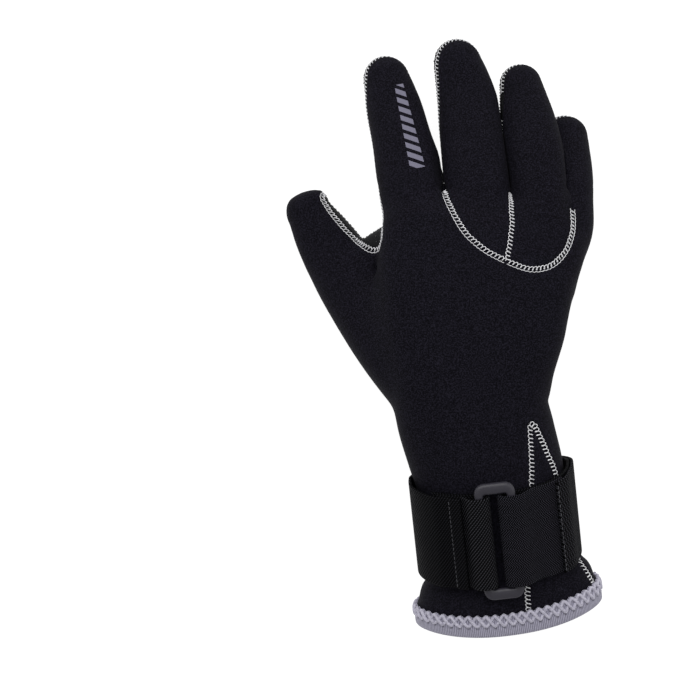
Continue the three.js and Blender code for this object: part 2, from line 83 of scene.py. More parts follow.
# Tubes: each row is a section, with its centre, half width and half height, the exponent of its outline,
# how high the palm seam runs on the thumb's side and on the little finger's side, and how far it bows.
COLUMNS = ("x", "y", "z", "wide", "high", "square", "thumb_side", "little_side", "bow")
HAND = [
    [14.4, -110, 27.5, 45.8, 26.6, 2.2, -0.7, -0.6, 5.5],
    [12.7, -98, 29.8, 44.2, 26.0, 2.2, -0.7, -0.6, 4.5],
    [11.6, -92, 31.0, 41.9, 25.5, 2.2, -0.7, -0.6, 3.5],
    [10.9, -88, 31.8, 38.6, 25.2, 2.2, -0.7, -0.6, 2.6],
    [10.1, -84, 32.6, 37.1, 25.0, 2.2, -0.7, -0.6, 2.0],
    [8.8, -77, 33.8, 36.5, 24.6, 2.2, -0.7, -0.6, 1],
    [3.7, -40, 41.0, 36.8, 24.2, 2.3, -0.7, -0.6, 0],
    [-0.6, -25, 43.8, 37.4, 23.6, 2.3, -0.7, -0.6, 0],
    [-4.8, -10, 46.0, 38.0, 22.8, 2.4, -0.7, -0.6, 0],
    [-5.6, 6, 47.2, 40.6, 22.2, 2.5, -0.75, -0.62, 0],
    [-4.6, 30, 46.8, 45.6, 21.4, 2.6, -0.75, -0.62, 0],
    [-2.0, 60, 43.2, 49.0, 19.8, 2.6, -0.55, -0.6, 0],
    [2.7, 82, 38.0, 50.6, 17.0, 2.6, 0.0, -0.6, 0],
    [4.2, 92, 35.0, 48.0, 12.0, 2.4, 0.1, -0.6, 0],
]
INDEX = [
    [-25, 56, 43.0, 14.0, 14.5, 2.2, 0.0, -0.55, 0],
    [-32, 88, 36.5, 16.6, 14.2, 2.2, 0.05, -0.6, 0],
    [-35.2, 109, 30.0, 16.7, 13.2, 2.2, -0.15, -0.65, 0],
    [-38.9, 125, 24.0, 14.9, 12.2, 2.2, -0.15, -0.65, 0],
    [-43.3, 143, 16.0, 13.8, 11.2, 2.2, 0.1, -0.5, 0],
    [-46.2, 155.5, 10.6, 11.8, 10.2, 2.1, 0.4, 0.05, 0],
]
MIDDLE_FINGER = [
    [-1, 56, 45.0, 14.0, 14.5, 2.2, 0.0, -0.55, 0],
    [-1.2, 92, 37.6, 16.3, 14.0, 2.2, 0.05, -0.6, 0],
    [-2.6, 110, 31.8, 16.5, 13.4, 2.2, -0.15, -0.65, 0],
    [-4.2, 126, 25.6, 15.9, 12.6, 2.2, -0.15, -0.65, 0],
    [-6.0, 146, 16.8, 14.9, 11.4, 2.2, 0.25, -0.5, 0],
    [-10.4, 164, 10.4, 12.1, 10.2, 2.1, 0.45, 0.05, 0],
]
RING = [
    [24, 56, 44.5, 13.0, 14.0, 2.2, 0.0, -0.55, 0],
    [29.4, 85, 39.0, 14.4, 13.2, 2.2, 0.05, -0.6, 0],
    [29.2, 100, 34.6, 14.6, 12.8, 2.2, -0.3, -0.65, 0],
    [26.8, 120, 27.4, 14.7, 12.0, 2.2, -0.3, -0.65, 0],
    [23.4, 139, 17.8, 13.2, 10.8, 2.2, 0.35, -0.5, 0],
    [21.2, 153.5, 10.6, 10.7, 9.8, 2.1, 0.5, 0.1, 0],
]
LITTLE = [
    [34.5, 48, 41.0, 11.5, 12.5, 2.2, -0.3, -0.82, 0],
    [38.4, 64, 38.2, 11.5, 12.3, 2.2, -0.2, -0.66, 0],
    [44.4, 80, 33.4, 11.8, 12.0, 2.2, 0.05, -0.6, 0],
    [45.0, 95, 27.8, 11.8, 11.4, 2.2, 0.0, -0.65, 0],
    [44.8, 110, 19.6, 11.8, 10.8, 2.2, 0.15, -0.65, 0],
    [43.6, 127.5, 10.4, 11.4, 9.8, 2.1, 0.6, 0.0, 0],
]
THUMB = [
    [-25, -10, 45.0, 13.0, 17.0, 2.2, -0.5, 0.2, 0],
    [-33, 2, 42.0, 15.2, 18.0, 2.2, -0.5, 0.3, 0],
    [-50.1, 31.7, 30.5, 18.4, 17.2, 2.2, -0.45, 0.4, 0],
    [-69.1, 61.6, 18.6, 16.8, 13.6, 2.2, -0.4, 0.55, 0],
    [-79.2, 78.3, 13.2, 14.2, 11.6, 2.2, -0.4, 0.6, 0],
    [-85.6, 89.3, 10.4, 11.2, 9.8, 2.1, -0.3, 0.6, 0],
]
WEB = [
    [-70, 53, 18.5, 9.0, 8.0, 2.0, -0.2, -0.2, 0],
    [-61.2, 60.8, 21.5, 10.0, 10.5, 2.0, -0.2, -0.2, 0],
    [-38, 77, 32.0, 10.0, 10.0, 2.0, -0.2, -0.2, 0],
]
# Neighbouring fingers press on each other along a plane through two points.
PRESSED = [
    {"pair": ("ring", "little"), "from": (37.8, 98, 31), "to": (35.4, 122, 20), "across": (0.86, 0, -0.5)},
    {"pair": ("middle", "ring"), "from": (14.3, 98, 36), "to": (10.4, 138, 20), "across": (1, 0, 0)},
    {"pair": ("index", "middle"), "from": (-19.0, 104, 34), "to": (-21.5, 122, 28), "across": (0.9, 0, 0.44)},
]
PRESS_GAP = 0.16
# The fingers are drawn this far apart while their skin is made, so that it doesn't grow together.
SPREAD = {"index": -4.2, "middle": -1.4, "ring": 1.4, "little": 4.2}
SPREAD_FROM = 94
SPREAD_OVER = 9
APART_FROM = 99
TIP_REACH = {"index": 2.6, "middle": 2.4, "ring": 0.6, "little": 0.4, "thumb": 1.2}

# The printed bars on the index finger
PRINT_FROM = (-31.6, 110, 0)
PRINT_TO = (-40.6, 153, 0)
PRINT_PITCH = 4.8
PRINT_HALF = 3.8
PRINT_TAPER = 0.035
PRINT_SLANT = 0.6

# The camera looks straight down from here. Its focal length is counted in the picture's pixels.
VIEW_FROM = (-70, 25, 1600)
VIEW_FOCUS = 3150
PICTURE_WIDE = 680

# Seams in plan, as points that a smooth curve passes through
KNUCKLE_SEAM = [
    (-18.6, 101), (-18, 97), (-15.5, 90), (-9, 78), (1, 69), (12, 63.5), (24, 59.5), (35, 62.5), (42, 71),
    (45, 82), (44.6, 93), (44, 101),
]
SPLIT_SEAM = [(11.5, 55), (12, 66), (14.2, 80), (14.3, 100)]
HEEL_SEAM = [
    (60, 8), (42, -6), (30, -15), (18, -20), (5, -21.5), (-8, -21), (-20, -18.5), (-32, -13), (-46, -2),
    (-58, 13), (-66, 26), (-76, 42),
]
THUMB_SEAM = [
    (-86, 104), (-82.6, 100.8), (-77.6, 93.2), (-72.5, 86.6), (-67.5, 80.5), (-62.4, 75.4), (-57.4, 71.4),
    (-53, 69), (-50.2, 71), (-49, 76), (-49.2, 84),
]
GUSSET = [
    (22.7, -10.8), (23.9, -42), (21.9, -97), (23.2, -122), (68, -122), (55.4, -95), (48.2, -83.4),
    (35.4, -38.7),
]
CUFF_SEAM = [(30, -12), (30, -40), (34, -85), (39.5, -125)]


# Sections

def tube_of(rows):
    """A tube through the rows, with the slopes that a smooth curve has at each."""
    rows = np.array(rows, float)
    steps = np.linalg.norm(np.diff(rows[:, :3], axis=0), axis=1)
    secants = np.diff(rows, axis=0) / steps[:, None]
    slopes = np.vstack([secants[:1], (secants[1:] + secants[:-1]) / 2, secants[-1:]])
    lengths = np.concatenate([[0], np.cumsum(steps)])
    return {"rows": rows, "lengths": lengths, "slopes": slopes, "length": lengths[-1]}


def values_at(tube, distances):
    """A tube's row at distances along it, on a cubic between its two nearest rows."""
    lengths, rows, slopes = tube["lengths"], tube["rows"], tube["slopes"]
    inside = np.clip(distances, 0, tube["length"])
    i = np.clip(np.searchsorted(lengths, inside, "right") - 1, 0, len(rows) - 2)
    span = lengths[i + 1] - lengths[i]
    p = ((inside - lengths[i]) / span)[:, None]
    span = span[:, None]
    return (
        (2 * p**3 - 3 * p**2 + 1) * rows[i]
        + (p**3 - 2 * p**2 + p) * span * slopes[i]
        + (3 * p**2 - 2 * p**3) * rows[i + 1]
        + (p**3 - p**2) * span * slopes[i + 1]
    )


def frames_at(tube, distances):
    """Centres, directions and sizes of a tube's sections at distances along it."""
    distances = np.atleast_1d(np.asarray(distances, float))
    inside = np.clip(distances, 0, tube["length"])
    along = values_at(tube, inside + 1)[:, :3] - values_at(tube, inside - 1)[:, :3]
    along /= np.linalg.norm(along, axis=1)[:, None]
    across = np.cross(along, (0, 0, 1))
    across /= np.linalg.norm(across, axis=1)[:, None]
    values = values_at(tube, inside)
    made = {name: values[:, i] for i, name in enumerate(COLUMNS)}
    made["centre"] = values[:, :3] + along * (distances - inside)[:, None]
    made["along"], made["across"], made["upright"] = along, across, np.cross(across, along)
    return made


def outlines(frames, angles, grow=0, shrink=1):
    """Points on the sections, one row for each section; angle 0 is on the little finger's side."""
    c, s = np.cos(angles)[None, :], np.sin(angles)[None, :]
    power = (2 / frames["square"])[:, None]
    u = np.sign(c) * np.abs(c) ** power * (frames["wide"][:, None] + grow) * shrink
    w = np.sign(s) * np.abs(s) ** power * (frames["high"][:, None] + grow) * shrink
    bow = frames["bow"][:, None] * s * s * np.where(s > 0, 1, 0.3)
    return (
        frames["centre"][:, None, :]
        + frames["across"][:, None, :] * u[..., None]
        + frames["upright"][:, None, :] * w[..., None]
        - frames["along"][:, None, :] * bow[..., None]
    )


def plane_between(contact):
    """A point on the plane that two fingers press on, and its normal, towards the second finger."""
    point = np.array(contact["from"], float)
    way = np.array(contact["to"], float) - point
    way /= np.linalg.norm(way)
    normal = np.array(contact["across"], float)
    normal -= way * normal.dot(way)
    return point, normal / np.linalg.norm(normal)


def pressed(points, name, grow=0, floor=0.0):
    """Points held back by the floor and by the neighbouring fingers."""
    points = points.copy()
    points[..., 2] = np.maximum(points[..., 2], floor - grow)
    for contact in PRESSED:
        if name not in contact["pair"]:
            continue
        point, normal = plane_between(contact)
        if contact["pair"][1] == name:
            normal = -normal
        past = (points - point) @ normal + PRESS_GAP / 2 - grow
        points -= np.maximum(past, 0)[..., None] * normal
    return points


def ramp(y):
    """How much of their spread the fingers have at y, from 0 at their roots to 1."""
    t = np.clip((y - SPREAD_FROM) / SPREAD_OVER, 0, 1)
    return t * t * (3 - 2 * t)


def smooth_line(points, count):
    """A Catmull-Rom curve in plan."""
    p = np.array(points, float)
    p = np.vstack([2 * p[0] - p[1], p, 2 * p[-1] - p[-2]])
    made = []
    for t in np.linspace(0, len(points) - 1, count):
        i = min(int(t), len(points) - 2)
        f = t - i
        a, b, c, d = p[i : i + 4]
        square = 2 * a - 5 * b + 4 * c - d
        cube = 3 * b - a - 3 * c + d
        made.append(0.5 * (2 * b + (c - a) * f + square * f**2 + cube * f**3))
    return np.array(made)


def distance_to_outline(points, outline):
    """Distance in plan to a closed outline, negative inside it."""
    a, b = outline, np.roll(outline, -1, axis=0)
    best = np.full(len(points), 1e9)
    inside = np.zeros(len(points), bool)
    for p, q in zip(a, b):
        way = q - p
        t = np.clip(((points - p) @ way) / max(way @ way, 1e-9), 0, 1)
        best = np.minimum(best, np.linalg.norm(points - p - t[:, None] * way, axis=1))
        crosses = (p[1] > points[:, 1]) != (q[1] > points[:, 1])
        rise = q[1] - p[1] if abs(q[1] - p[1]) > 1e-9 else 1e-9
        inside ^= crosses & (points[:, 0] < p[0] + (points[:, 1] - p[1]) * (q[0] - p[0]) / rise)
    return np.where(inside, -best, best)


TUBES = {
    "hand": tube_of(HAND),
    "index": tube_of(INDEX),
    "middle": tube_of(MIDDLE_FINGER),
    "ring": tube_of(RING),
    "little": tube_of(LITTLE),
    "thumb": tube_of(THUMB),
    "web": tube_of(WEB),
}
FINGERS = ("index", "middle", "ring", "little")


# Meshes

def circle_of(bm, places):
    """A ring of vertices at the places, and its edges in a fixed order."""
    verts = bmesh.ops.create_circle(bm, segments=len(places), radius=1)["verts"]
    for vert, place in zip(verts, places):
        vert.co = place
    edges = {e for v in verts for e in v.link_edges}
    return verts, sorted(edges, key=lambda e: tuple(e.verts[0].co) + tuple(e.verts[1].co))


def loft(bm, rings, closed=False):
    """Bridges rings of places one after another, closes the ends, and gives each ring's vertices."""
    made = [circle_of(bm, ring) for ring in rings]
    pairs = list(zip(made, made[1:]))
    if closed:
        pairs.append((made[-1], made[0]))
    for (_, first), (_, second) in pairs:
        bmesh.ops.bridge_loops(bm, edges=first + second)
    if not closed:
        for verts, _ in (made[0], made[-1]):
            bmesh.ops.contextual_create(bm, geom=verts)
    return [verts for verts, _ in made]


def object_of(name, mesh):
    """An object in the scene with the mesh as it is."""
    obj = bpy.data.objects.new(name, mesh)
    bpy.context.scene.collection.objects.link(obj)
    return obj


def evaluated(obj):
    """The object's mesh with its modifiers applied; the object goes."""
    graph = bpy.context.evaluated_depsgraph_get()
    mesh = bpy.data.meshes.new_from_object(obj.evaluated_get(graph))
    bpy.data.objects.remove(obj)
    return mesh


def finish(name, mesh, materials, replaces=None):
    """Moves a mesh drawn in millimetres into the frame, and makes it a piece."""
    mesh.transform(Matrix.Scale(MM, 4) @ Matrix.Translation(-MIDDLE))
    mesh.shade_smooth()
    for material in materials:
        mesh.materials.append(material)
    obj = object_of(name, mesh)
    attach(obj, "root")
    if replaces:
        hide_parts(replaces)
    return obj


def mesh_of(bm, name):
    """The bmesh as a mesh; the bmesh goes."""
    mesh = bpy.data.meshes.new(name)
    bm.to_mesh(mesh)
    bm.free()
    return mesh


# The glove's skin: tubes grown together, then cut into panels

def tube_rings(name):
    """A tube's sections, with a rounded tip on a finger."""
    tube = TUBES[name]
    angles = np.arange(SIDES[name]) / SIDES[name] * 2 * math.pi
    start = -HEM_ROOM if name == "hand" else 0
    count = int((tube["length"] - start) / RING_STEP)
    frames = frames_at(tube, np.linspace(start, tube["length"], count))
    floor = BINDING_TAPE + BINDING_GAP if name == "hand" else FLOOR_UNDER_NUBS
    rings = list(pressed(outlines(frames, angles), name, floor=floor))
    if name in TIP_REACH:
        end = frames_at(tube, [tube["length"]])
        reach = (end["wide"][0] + end["high"][0]) / 2 + TIP_REACH[name]
        for turn in np.linspace(0, 1, 12)[1:-1] * math.pi / 2:
            moved = dict(end, centre=end["centre"] + end["along"] * reach * math.sin(turn))
            rings.append(pressed(outlines(moved, angles, shrink=math.cos(turn)), name, floor=floor)[0])
    if name in FINGERS:
        for ring in rings:
            ring[:, 0] += SPREAD[name] * ramp(ring[:, 1])
    return rings


def skin():
    """The tubes grown together into one closed surface."""
    bm = bmesh.new()
    for name in TUBES:
        loft(bm, tube_rings(name))
    bmesh.ops.recalc_face_normals(bm, faces=bm.faces)
    obj = object_of("skin", mesh_of(bm, "skin"))
    remesh = obj.modifiers.new("remesh", "REMESH")
    remesh.mode = "VOXEL"
    remesh.voxel_size = VOXEL
    return evaluated(obj)


def local(name, points):
    """Where points lie in a tube's own sections: across, upright and along, with the section's values."""
    tube = TUBES[name]
    stations = np.arange(0, tube["length"] + 0.5, 1.0)
    frames = frames_at(tube, stations)
    nearest = np.empty(len(points), int)
    for start in range(0, len(points), 20000):
        part = points[start : start + 20000]
        apart = ((part[:, None, :] - frames["centre"][None]) ** 2).sum(2)
        nearest[start : start + 20000] = apart.argmin(1)
    found = {key: value[nearest] for key, value in frames.items()}
    away = points - found["centre"]
    u = (away * found["across"]).sum(1)
    w = (away * found["upright"]).sum(1)
    d = (away * found["along"]).sum(1)
    return u, w, d, stations[nearest], found


def off_tube(name, points):
    """Rough distance to a tube's surface."""
    u, w, d, at, f = local(name, points)
    power = f["square"]
    ratio = ((np.abs(u) / f["wide"]) ** power + (np.abs(w) / f["high"]) ** power) ** (1 / power)
    beyond = (at <= 0) & (d < 0) | (at >= TUBES[name]["length"] - 1) & (d > 0)
    past = np.where(beyond, np.abs(d), 0)
    return np.maximum((ratio - 1) * np.minimum(f["wide"], f["high"]), past - f["high"])


def above_palm_seam(name, points):
    """Height over the chord between a tube's two seam points, which is negative on the palm's side."""
    u, w, d, at, f = local(name, points)

    def seam(share):
        """The outline's place, beside and over the middle, at a share of its height."""
        return f["wide"] * (1 - np.abs(share) ** f["square"]) ** (1 / f["square"]), share * f["high"]

    right_u, right_w = seam(f["little_side"])
    left_u, left_w = seam(f["thumb_side"])
    left_u = -left_u
    chord_u, chord_w = right_u - left_u, right_w - left_w
    size = np.hypot(chord_u, chord_w)
    chord_u, chord_w = chord_u / size, chord_w / size
    height = (w - left_w) * chord_u - (u - left_u) * chord_w
    if name in FINGERS:
        height = height - np.where(at >= TUBES[name]["length"] - 1, 0.2 * np.maximum(d, 0), 0)
    clear_left = SEAM_ROOM + np.where(f["thumb_side"] > 0, f["wide"] - np.abs(left_u), 0)
    clear_right = SEAM_ROOM + np.where(f["little_side"] > 0, f["wide"] - np.abs(right_u), 0)
    past_left = -((u - left_u) * chord_u + (w - left_w) * chord_w) - clear_left
    past_right = (u - right_u) * chord_u + (w - right_w) * chord_w - clear_right
    before = np.where(at <= 0, -d - SEAM_ROOM, -1e3)
    after = np.where(at >= TUBES[name]["length"] - 1, d - 20, -1e3)
    return np.max([height, past_left, past_right, before, after], axis=0)


def coordinates(mesh):
    """The places of a mesh's vertices, a row for each."""
    co = np.empty(len(mesh.vertices) * 3, np.float32)
    mesh.vertices.foreach_get("co", co)
    return co.reshape(-1, 3).astype(float)


def neighbours(mesh):
    """The two vertices of each edge."""
    pairs = np.empty(len(mesh.edges) * 2, np.int32)
    mesh.edges.foreach_get("vertices", pairs)
    return pairs.reshape(-1, 2)


def relaxed(values, pairs, times, share=0.5):
    """Each value moves towards the mean of its neighbours."""
    values = values.astype(float)
    flat = values.reshape(len(values), -1)
    count = np.bincount(pairs.ravel(), minlength=len(values))[:, None]
    share = np.broadcast_to(np.asarray(share, float).reshape(-1, 1), (len(values), 1))
    for _ in range(times):
        mean = np.zeros_like(flat)
        for i in range(flat.shape[1]):
            mean[:, i] += np.bincount(pairs[:, 0], flat[pairs[:, 1], i], len(values))
            mean[:, i] += np.bincount(pairs[:, 1], flat[pairs[:, 0], i], len(values))
        flat = flat + share * (mean / np.maximum(count, 1) - flat)
    return flat.reshape(values.shape)


def filled(mesh, points, pairs):
    """The valley between the thumb's root and the back of the hand grows out to a smooth slope."""
    x, y, z = points.T
    # 1 in the valley, falling to 0 past its two ends, towards the middle of the hand and towards the palm
    share = np.clip((70 - y) / 9, 0, 1) * np.clip((y + 34) / 14, 0, 1) * np.clip((-14 - x) / 10, 0, 1)
    share *= np.clip((z - 16) / 8, 0, 1)
    moving = np.flatnonzero(share > 0.01)
    touching = pairs[(share[pairs] > 0.01).any(axis=1)]
    count = np.maximum(np.bincount(touching.ravel(), minlength=len(points)), 1)[moving, None]
    for _ in range(10):
        mesh.vertices.foreach_set("co", points.astype(np.float32).ravel())
        mesh.update()
        ways = np.empty(len(points) * 3, np.float32)
        mesh.vertices.foreach_get("normal", ways)
        ways = ways.reshape(-1, 3)[moving].astype(float)
        for _ in range(60):
            mean = np.stack([
                np.bincount(touching[:, 0], points[touching[:, 1], i], len(points))
                + np.bincount(touching[:, 1], points[touching[:, 0], i], len(points))
                for i in range(3)
            ], axis=1)[moving] / count
            out = np.maximum(((mean - points[moving]) * ways).sum(1), 0)
            points[moving] += 0.9 * (share[moving] * out)[:, None] * ways
    return relaxed(points, pairs, 6, 0.5 * share)


# How many rounds smooth each seam's line, where it isn't 6
FIELD_ROUNDS = {"hem": 3, "palm": 14}


def shaped_skin():
    """The skin in its place, with soft creases, and the fields whose noughts are its seams."""
    mesh = skin()
    points, pairs = coordinates(mesh), neighbours(mesh)
    apart = np.stack(
        [off_tube(name, points - np.outer(SPREAD[name] * ramp(points[:, 1]), (1, 0, 0))) for name in FINGERS]
    )
    finger = apart.argmin(0)
    shift = np.array([SPREAD[name] for name in FINGERS])[finger] * ramp(points[:, 1])
    points[:, 0] -= shift
    # Each round in is followed by one out, so that the fingers lose the voxels' steps but not their size.
    for _ in range(4):
        points = relaxed(points, pairs, 1, 0.5)
        points = relaxed(points, pairs, 1, -0.52)
    # Where two tubes meet, the skin is pulled smooth.
    off = np.sort(np.stack([np.abs(off_tube(name, points)) for name in TUBES]), axis=0)
    crease = np.clip(1.3 - off[1] / 5, 0, 1) * (1 - ramp(points[:, 1] - 2))
    crease = relaxed(crease, pairs, 6)
    points = relaxed(points, pairs, 30, 0.5 * crease)
    points = filled(mesh, points, pairs)
    fields = seam_fields(points, finger)
    for name in fields:
        fields[name] = relaxed(np.clip(fields[name], -6, 6), pairs, FIELD_ROUNDS.get(name, 6))
    # The neoprene isn't quite even.
    x, y = points[:, 0], points[:, 1]
    swell = 0.22 * np.sin(x / 9 + 1.3 * np.sin(y / 17)) * np.sin(y / 13 + 0.9 * np.sin(x / 21))
    ways = np.array([v.normal for v in mesh.vertices])
    points += ways * (swell * np.clip((points[:, 2] - 4) / 6, 0, 1))[:, None]
    for vert, place in zip(mesh.vertices, points):
        vert.co = place
    return mesh, fields


def seam_fields(points, finger):
    """Fields over the skin, in mm, each nought along a seam or the hem."""
    plan = points[:, :2]
    free = points[:, 1] > APART_FROM
    heights = {name: above_palm_seam(name, points) for name in TUBES}
    under = np.min(list(heights.values()), axis=0)
    own = np.stack([heights[name] for name in FINGERS])[finger, np.arange(len(points))]
    under = np.where(free, own, under)
    web = distance_to_outline(plan, np.vstack([smooth_line(THUMB_SEAM, 50), [(-60, 110), (-80, 120)]]))
    under = np.minimum(under, np.where(plan[:, 1] < 92, web, 9))
    heel = np.vstack([smooth_line(HEEL_SEAM, 60), [(-130, 60), (-130, 190), (90, 190), (90, 8)]])
    palm = np.maximum(under, distance_to_outline(plan, heel))
    knuckle = distance_to_outline(plan, np.vstack([smooth_line(KNUCKLE_SEAM, 60), [(44, 220), (-18.6, 220)]]))
    knuckle = np.where(free, np.where((finger == 1) | (finger == 2), -4.0, 4.0), knuckle)
    halves = np.vstack([smooth_line(SPLIT_SEAM, 20), [(14.3, 220), (-90, 220), (-90, 40)]])
    split = np.where(free, np.where(finger <= 1, -4.0, 4.0), distance_to_outline(plan, halves))
    gusset = distance_to_outline(plan, np.array(GUSSET, float))
    gusset = np.maximum(gusset, 39.5 + 0.186 * (points[:, 1] + 40) - points[:, 2])
    _, w, d, at, f = local("hand", points)
    sine = np.clip(np.abs(w) / f["high"], 0, 1) ** f["square"]
    bow = HAND[0][COLUMNS.index("bow")] * sine * np.where(w > 0, 1, 0.3)
    hem = np.where(at < 30, at + d + bow - HEM_INSET, 30)
    return {"palm": palm, "knuckle": knuckle, "split": split, "gusset": gusset, "hem": hem}


# Field values this near to nought are taken as nought, so that a cut leaves no slivers.
SNAP = 0.28


def cut(bm, faces, field, true, drop=False):
    """Splits faces where a field is nought. The field stands in for x while the plane cuts."""
    verts = sorted({v for f in faces for v in f.verts}, key=lambda v: v.index)
    edges = sorted({e for f in faces for e in f.edges}, key=lambda e: e.index)
    for v in verts:
        if abs(v[field]) < SNAP:
            v[field] = 0
        v.co.x = v[field]
    bmesh.ops.bisect_plane(
        bm, geom=verts + edges + faces, dist=1e-5, plane_co=(0, 0, 0), plane_no=(1, 0, 0), clear_inner=drop
    )
    for v in bm.verts:
        v.co = v[true]
    for sequence in (bm.verts, bm.edges, bm.faces):
        sequence.index_update()


PANELS = ("palm_panel", "back_panel", "middle_back", "ring_back", "cuff_gusset")
PALM, BACK, MIDDLE_BACK, RING_BACK, CUFF_GUSSET = range(5)
# Each cut: its field, the panel that it divides, the side of it that is cut off, and that side's panel
CUTS = [
    ("palm", BACK, -1, PALM),
    ("knuckle", BACK, -1, MIDDLE_BACK),
    ("split", MIDDLE_BACK, 1, RING_BACK),
    ("gusset", BACK, -1, CUFF_GUSSET),
]


def panelled_skin():
    """The skin cut along its seams; each face carries its panel's number."""
    mesh, fields = shaped_skin()
    bm = bmesh.new()
    bm.from_mesh(mesh)
    true = bm.verts.layers.float_vector.new("true")
    layers = {name: bm.verts.layers.float.new(name) for name in fields}
    for i, v in enumerate(bm.verts):
        v[true] = v.co
        for name, layer in layers.items():
            v[layer] = fields[name][i]
    panel = bm.faces.layers.int.new("panel")
    cut(bm, list(bm.faces), layers["hem"], true, drop=True)
    for f in bm.faces:
        f[panel] = BACK
    for name, whole, side, number in CUTS:
        field = layers[name]
        cut(bm, [f for f in bm.faces if f[panel] == whole], field, true)
        for f in bm.faces:
            if f[panel] == whole and side * sum(v[field] for v in f.verts) > 0:
                f[panel] = number
    bm.normal_update()
    return bm, panel


def seams_of(bm, panel):
    """Runs of vertices along the seams, with the two panels that each one joins."""
    kinds = {}
    for e in bm.edges:
        numbers = sorted({f[panel] for f in e.link_faces})
        if len(numbers) == 2:
            kinds.setdefault(tuple(numbers), []).append(e)
    runs = []
    for kind in sorted(kinds):
        links = {}
        for e in kinds[kind]:
            for v in e.verts:
                links.setdefault(v.index, []).append(e)
        unused = {e.index for e in kinds[kind]}
        bm.verts.ensure_lookup_table()
        starts = [i for i in links if len(links[i]) != 2] + list(links)
        for start in starts:
            for first in links[start]:
                if first.index not in unused:
                    continue
                run, at, edge = [start], start, first
                while edge is not None:
                    unused.discard(edge.index)
                    at = edge.other_vert(bm.verts[at]).index
                    run.append(at)
                    onward = [e for e in links[at] if e.index in unused]
                    edge = onward[0] if len(links[at]) == 2 and onward else None
                runs.append((kind, run))
    return runs


def eased(line, times, closed):
    """A line with its corners taken off; its ends stay."""
    for _ in range(times):
        before, after = np.roll(line, 1, axis=0), np.roll(line, -1, axis=0)
        moved = line * 0.5 + (before + after) * 0.25
        if not closed:
            moved[0], moved[-1] = line[0], line[-1]
        line = moved
    return line


def lengths_along(line):
    """Each point's distance along a line."""
    return np.concatenate([[0], np.cumsum(np.linalg.norm(np.diff(line, axis=0), axis=1))])


def resampled(line, step):
    """A line's points at even distances, and its length; columns past the third ride along."""
    lengths = lengths_along(line[:, :3])
    where = np.linspace(0, lengths[-1], max(2, int(lengths[-1] / step) + 1))
    columns = [np.interp(where, lengths, column) for column in line.T]
    return np.stack(columns, axis=1), lengths[-1]


# Threads

def thread(name, paths, radius):
    """A mesh of round threads that follow the paths."""
    curve = bpy.data.curves.new(name, "CURVE")
    curve.dimensions = "3D"
    curve.bevel_depth = radius
    curve.bevel_resolution = 1
    curve.use_fill_caps = True
    for path in paths:
        spline = curve.splines.new("POLY")
        spline.points.add(len(path) - 1)
        spline.points.foreach_set("co", np.hstack([path, np.ones((len(path), 1))]).ravel())
    mesh = evaluated(object_of(name, curve))
    bpy.data.curves.remove(curve)
    return mesh


def along_seam(line):
    """A function for places by distance along a seam, beside it and over it, and the seam's length."""
    places, length = resampled(line, 0.25)
    spots = places[:, :3]
    ways = eased(places[:, 3:6], 8, False)
    ways /= np.linalg.norm(ways, axis=1)[:, None]
    along = eased(np.gradient(spots, axis=0), 6, False)
    along /= np.linalg.norm(along, axis=1)[:, None]
    side = np.cross(ways, along)
    at = np.linspace(0, length, len(spots))

    def on(distance, off, high):
        spot, beside, over = (
            np.stack([np.interp(distance, at, column) for column in values.T], axis=1)
            for values in (spots, side, ways)
        )
        return spot + beside * np.reshape(off, (-1, 1)) + over * np.reshape(high, (-1, 1))

    return on, length


def stitch_run(line, body, chain_side, reach):
    """Loops of thread over a seam, and the chain of thread beside them, where nothing lies on them."""
    on, length = along_seam(line)
    if length < SHORTEST_SEAM:
        return [], []
    sorts = []
    for k in range(int(length / STITCH_PITCH)):
        middle, over = (on([(k + 0.5) * STITCH_PITCH], 0, high)[0] for high in (0, 1))
        way = Vector(over - middle)
        buried = body.ray_cast(Vector(middle) + way * 0.4, way, 3.0)[0] is not None
        sorts.append("buried" if buried else "plain" if middle[1] > CHAIN_ENDS else "chained")
    loops, chain = [], []
    for sort, run in groupby(range(len(sorts)), key=sorts.__getitem__):
        run = list(run)
        if sort == "buried":
            continue
        beside = chain_side if sort == "chained" else 0
        turns = np.arange(run[0] * 12, (run[-1] + 1) * 12 + 1) / 12
        phase = turns * 2 * math.pi
        loose = 1 + 0.12 * np.sin(turns * 7.3) + 0.08 * np.sin(turns * 2.9 + 1)
        off = reach * loose * np.cos(phase)
        distance = turns * STITCH_PITCH + 0.52 * np.sin(phase) + 0.28 * off
        high = STITCH_LIFT + 0.34 + 0.26 * np.sin(phase + 0.6)
        if beside:
            off = off * 0.8 + 0.25 * beside
        loops.append(on(np.clip(distance, 0, length), off, high))
        if beside:
            turns = np.arange(run[0] * 6, (run[-1] + 1) * 6 + 1) / 6
            phase = turns * 2 * math.pi
            off = 0.14 * np.sin(phase) - beside * (reach + 0.28)
            chain.append(on(turns * STITCH_PITCH, off, STITCH_LIFT + 0.25 + 0.12 * np.cos(phase)))
    return loops, chain


def joined(meshes, name):
    """One mesh of several."""
    bm = bmesh.new()
    for mesh in meshes:
        bm.from_mesh(mesh)
        bpy.data.meshes.remove(mesh)
    return mesh_of(bm, name)


# Nubs on the palm

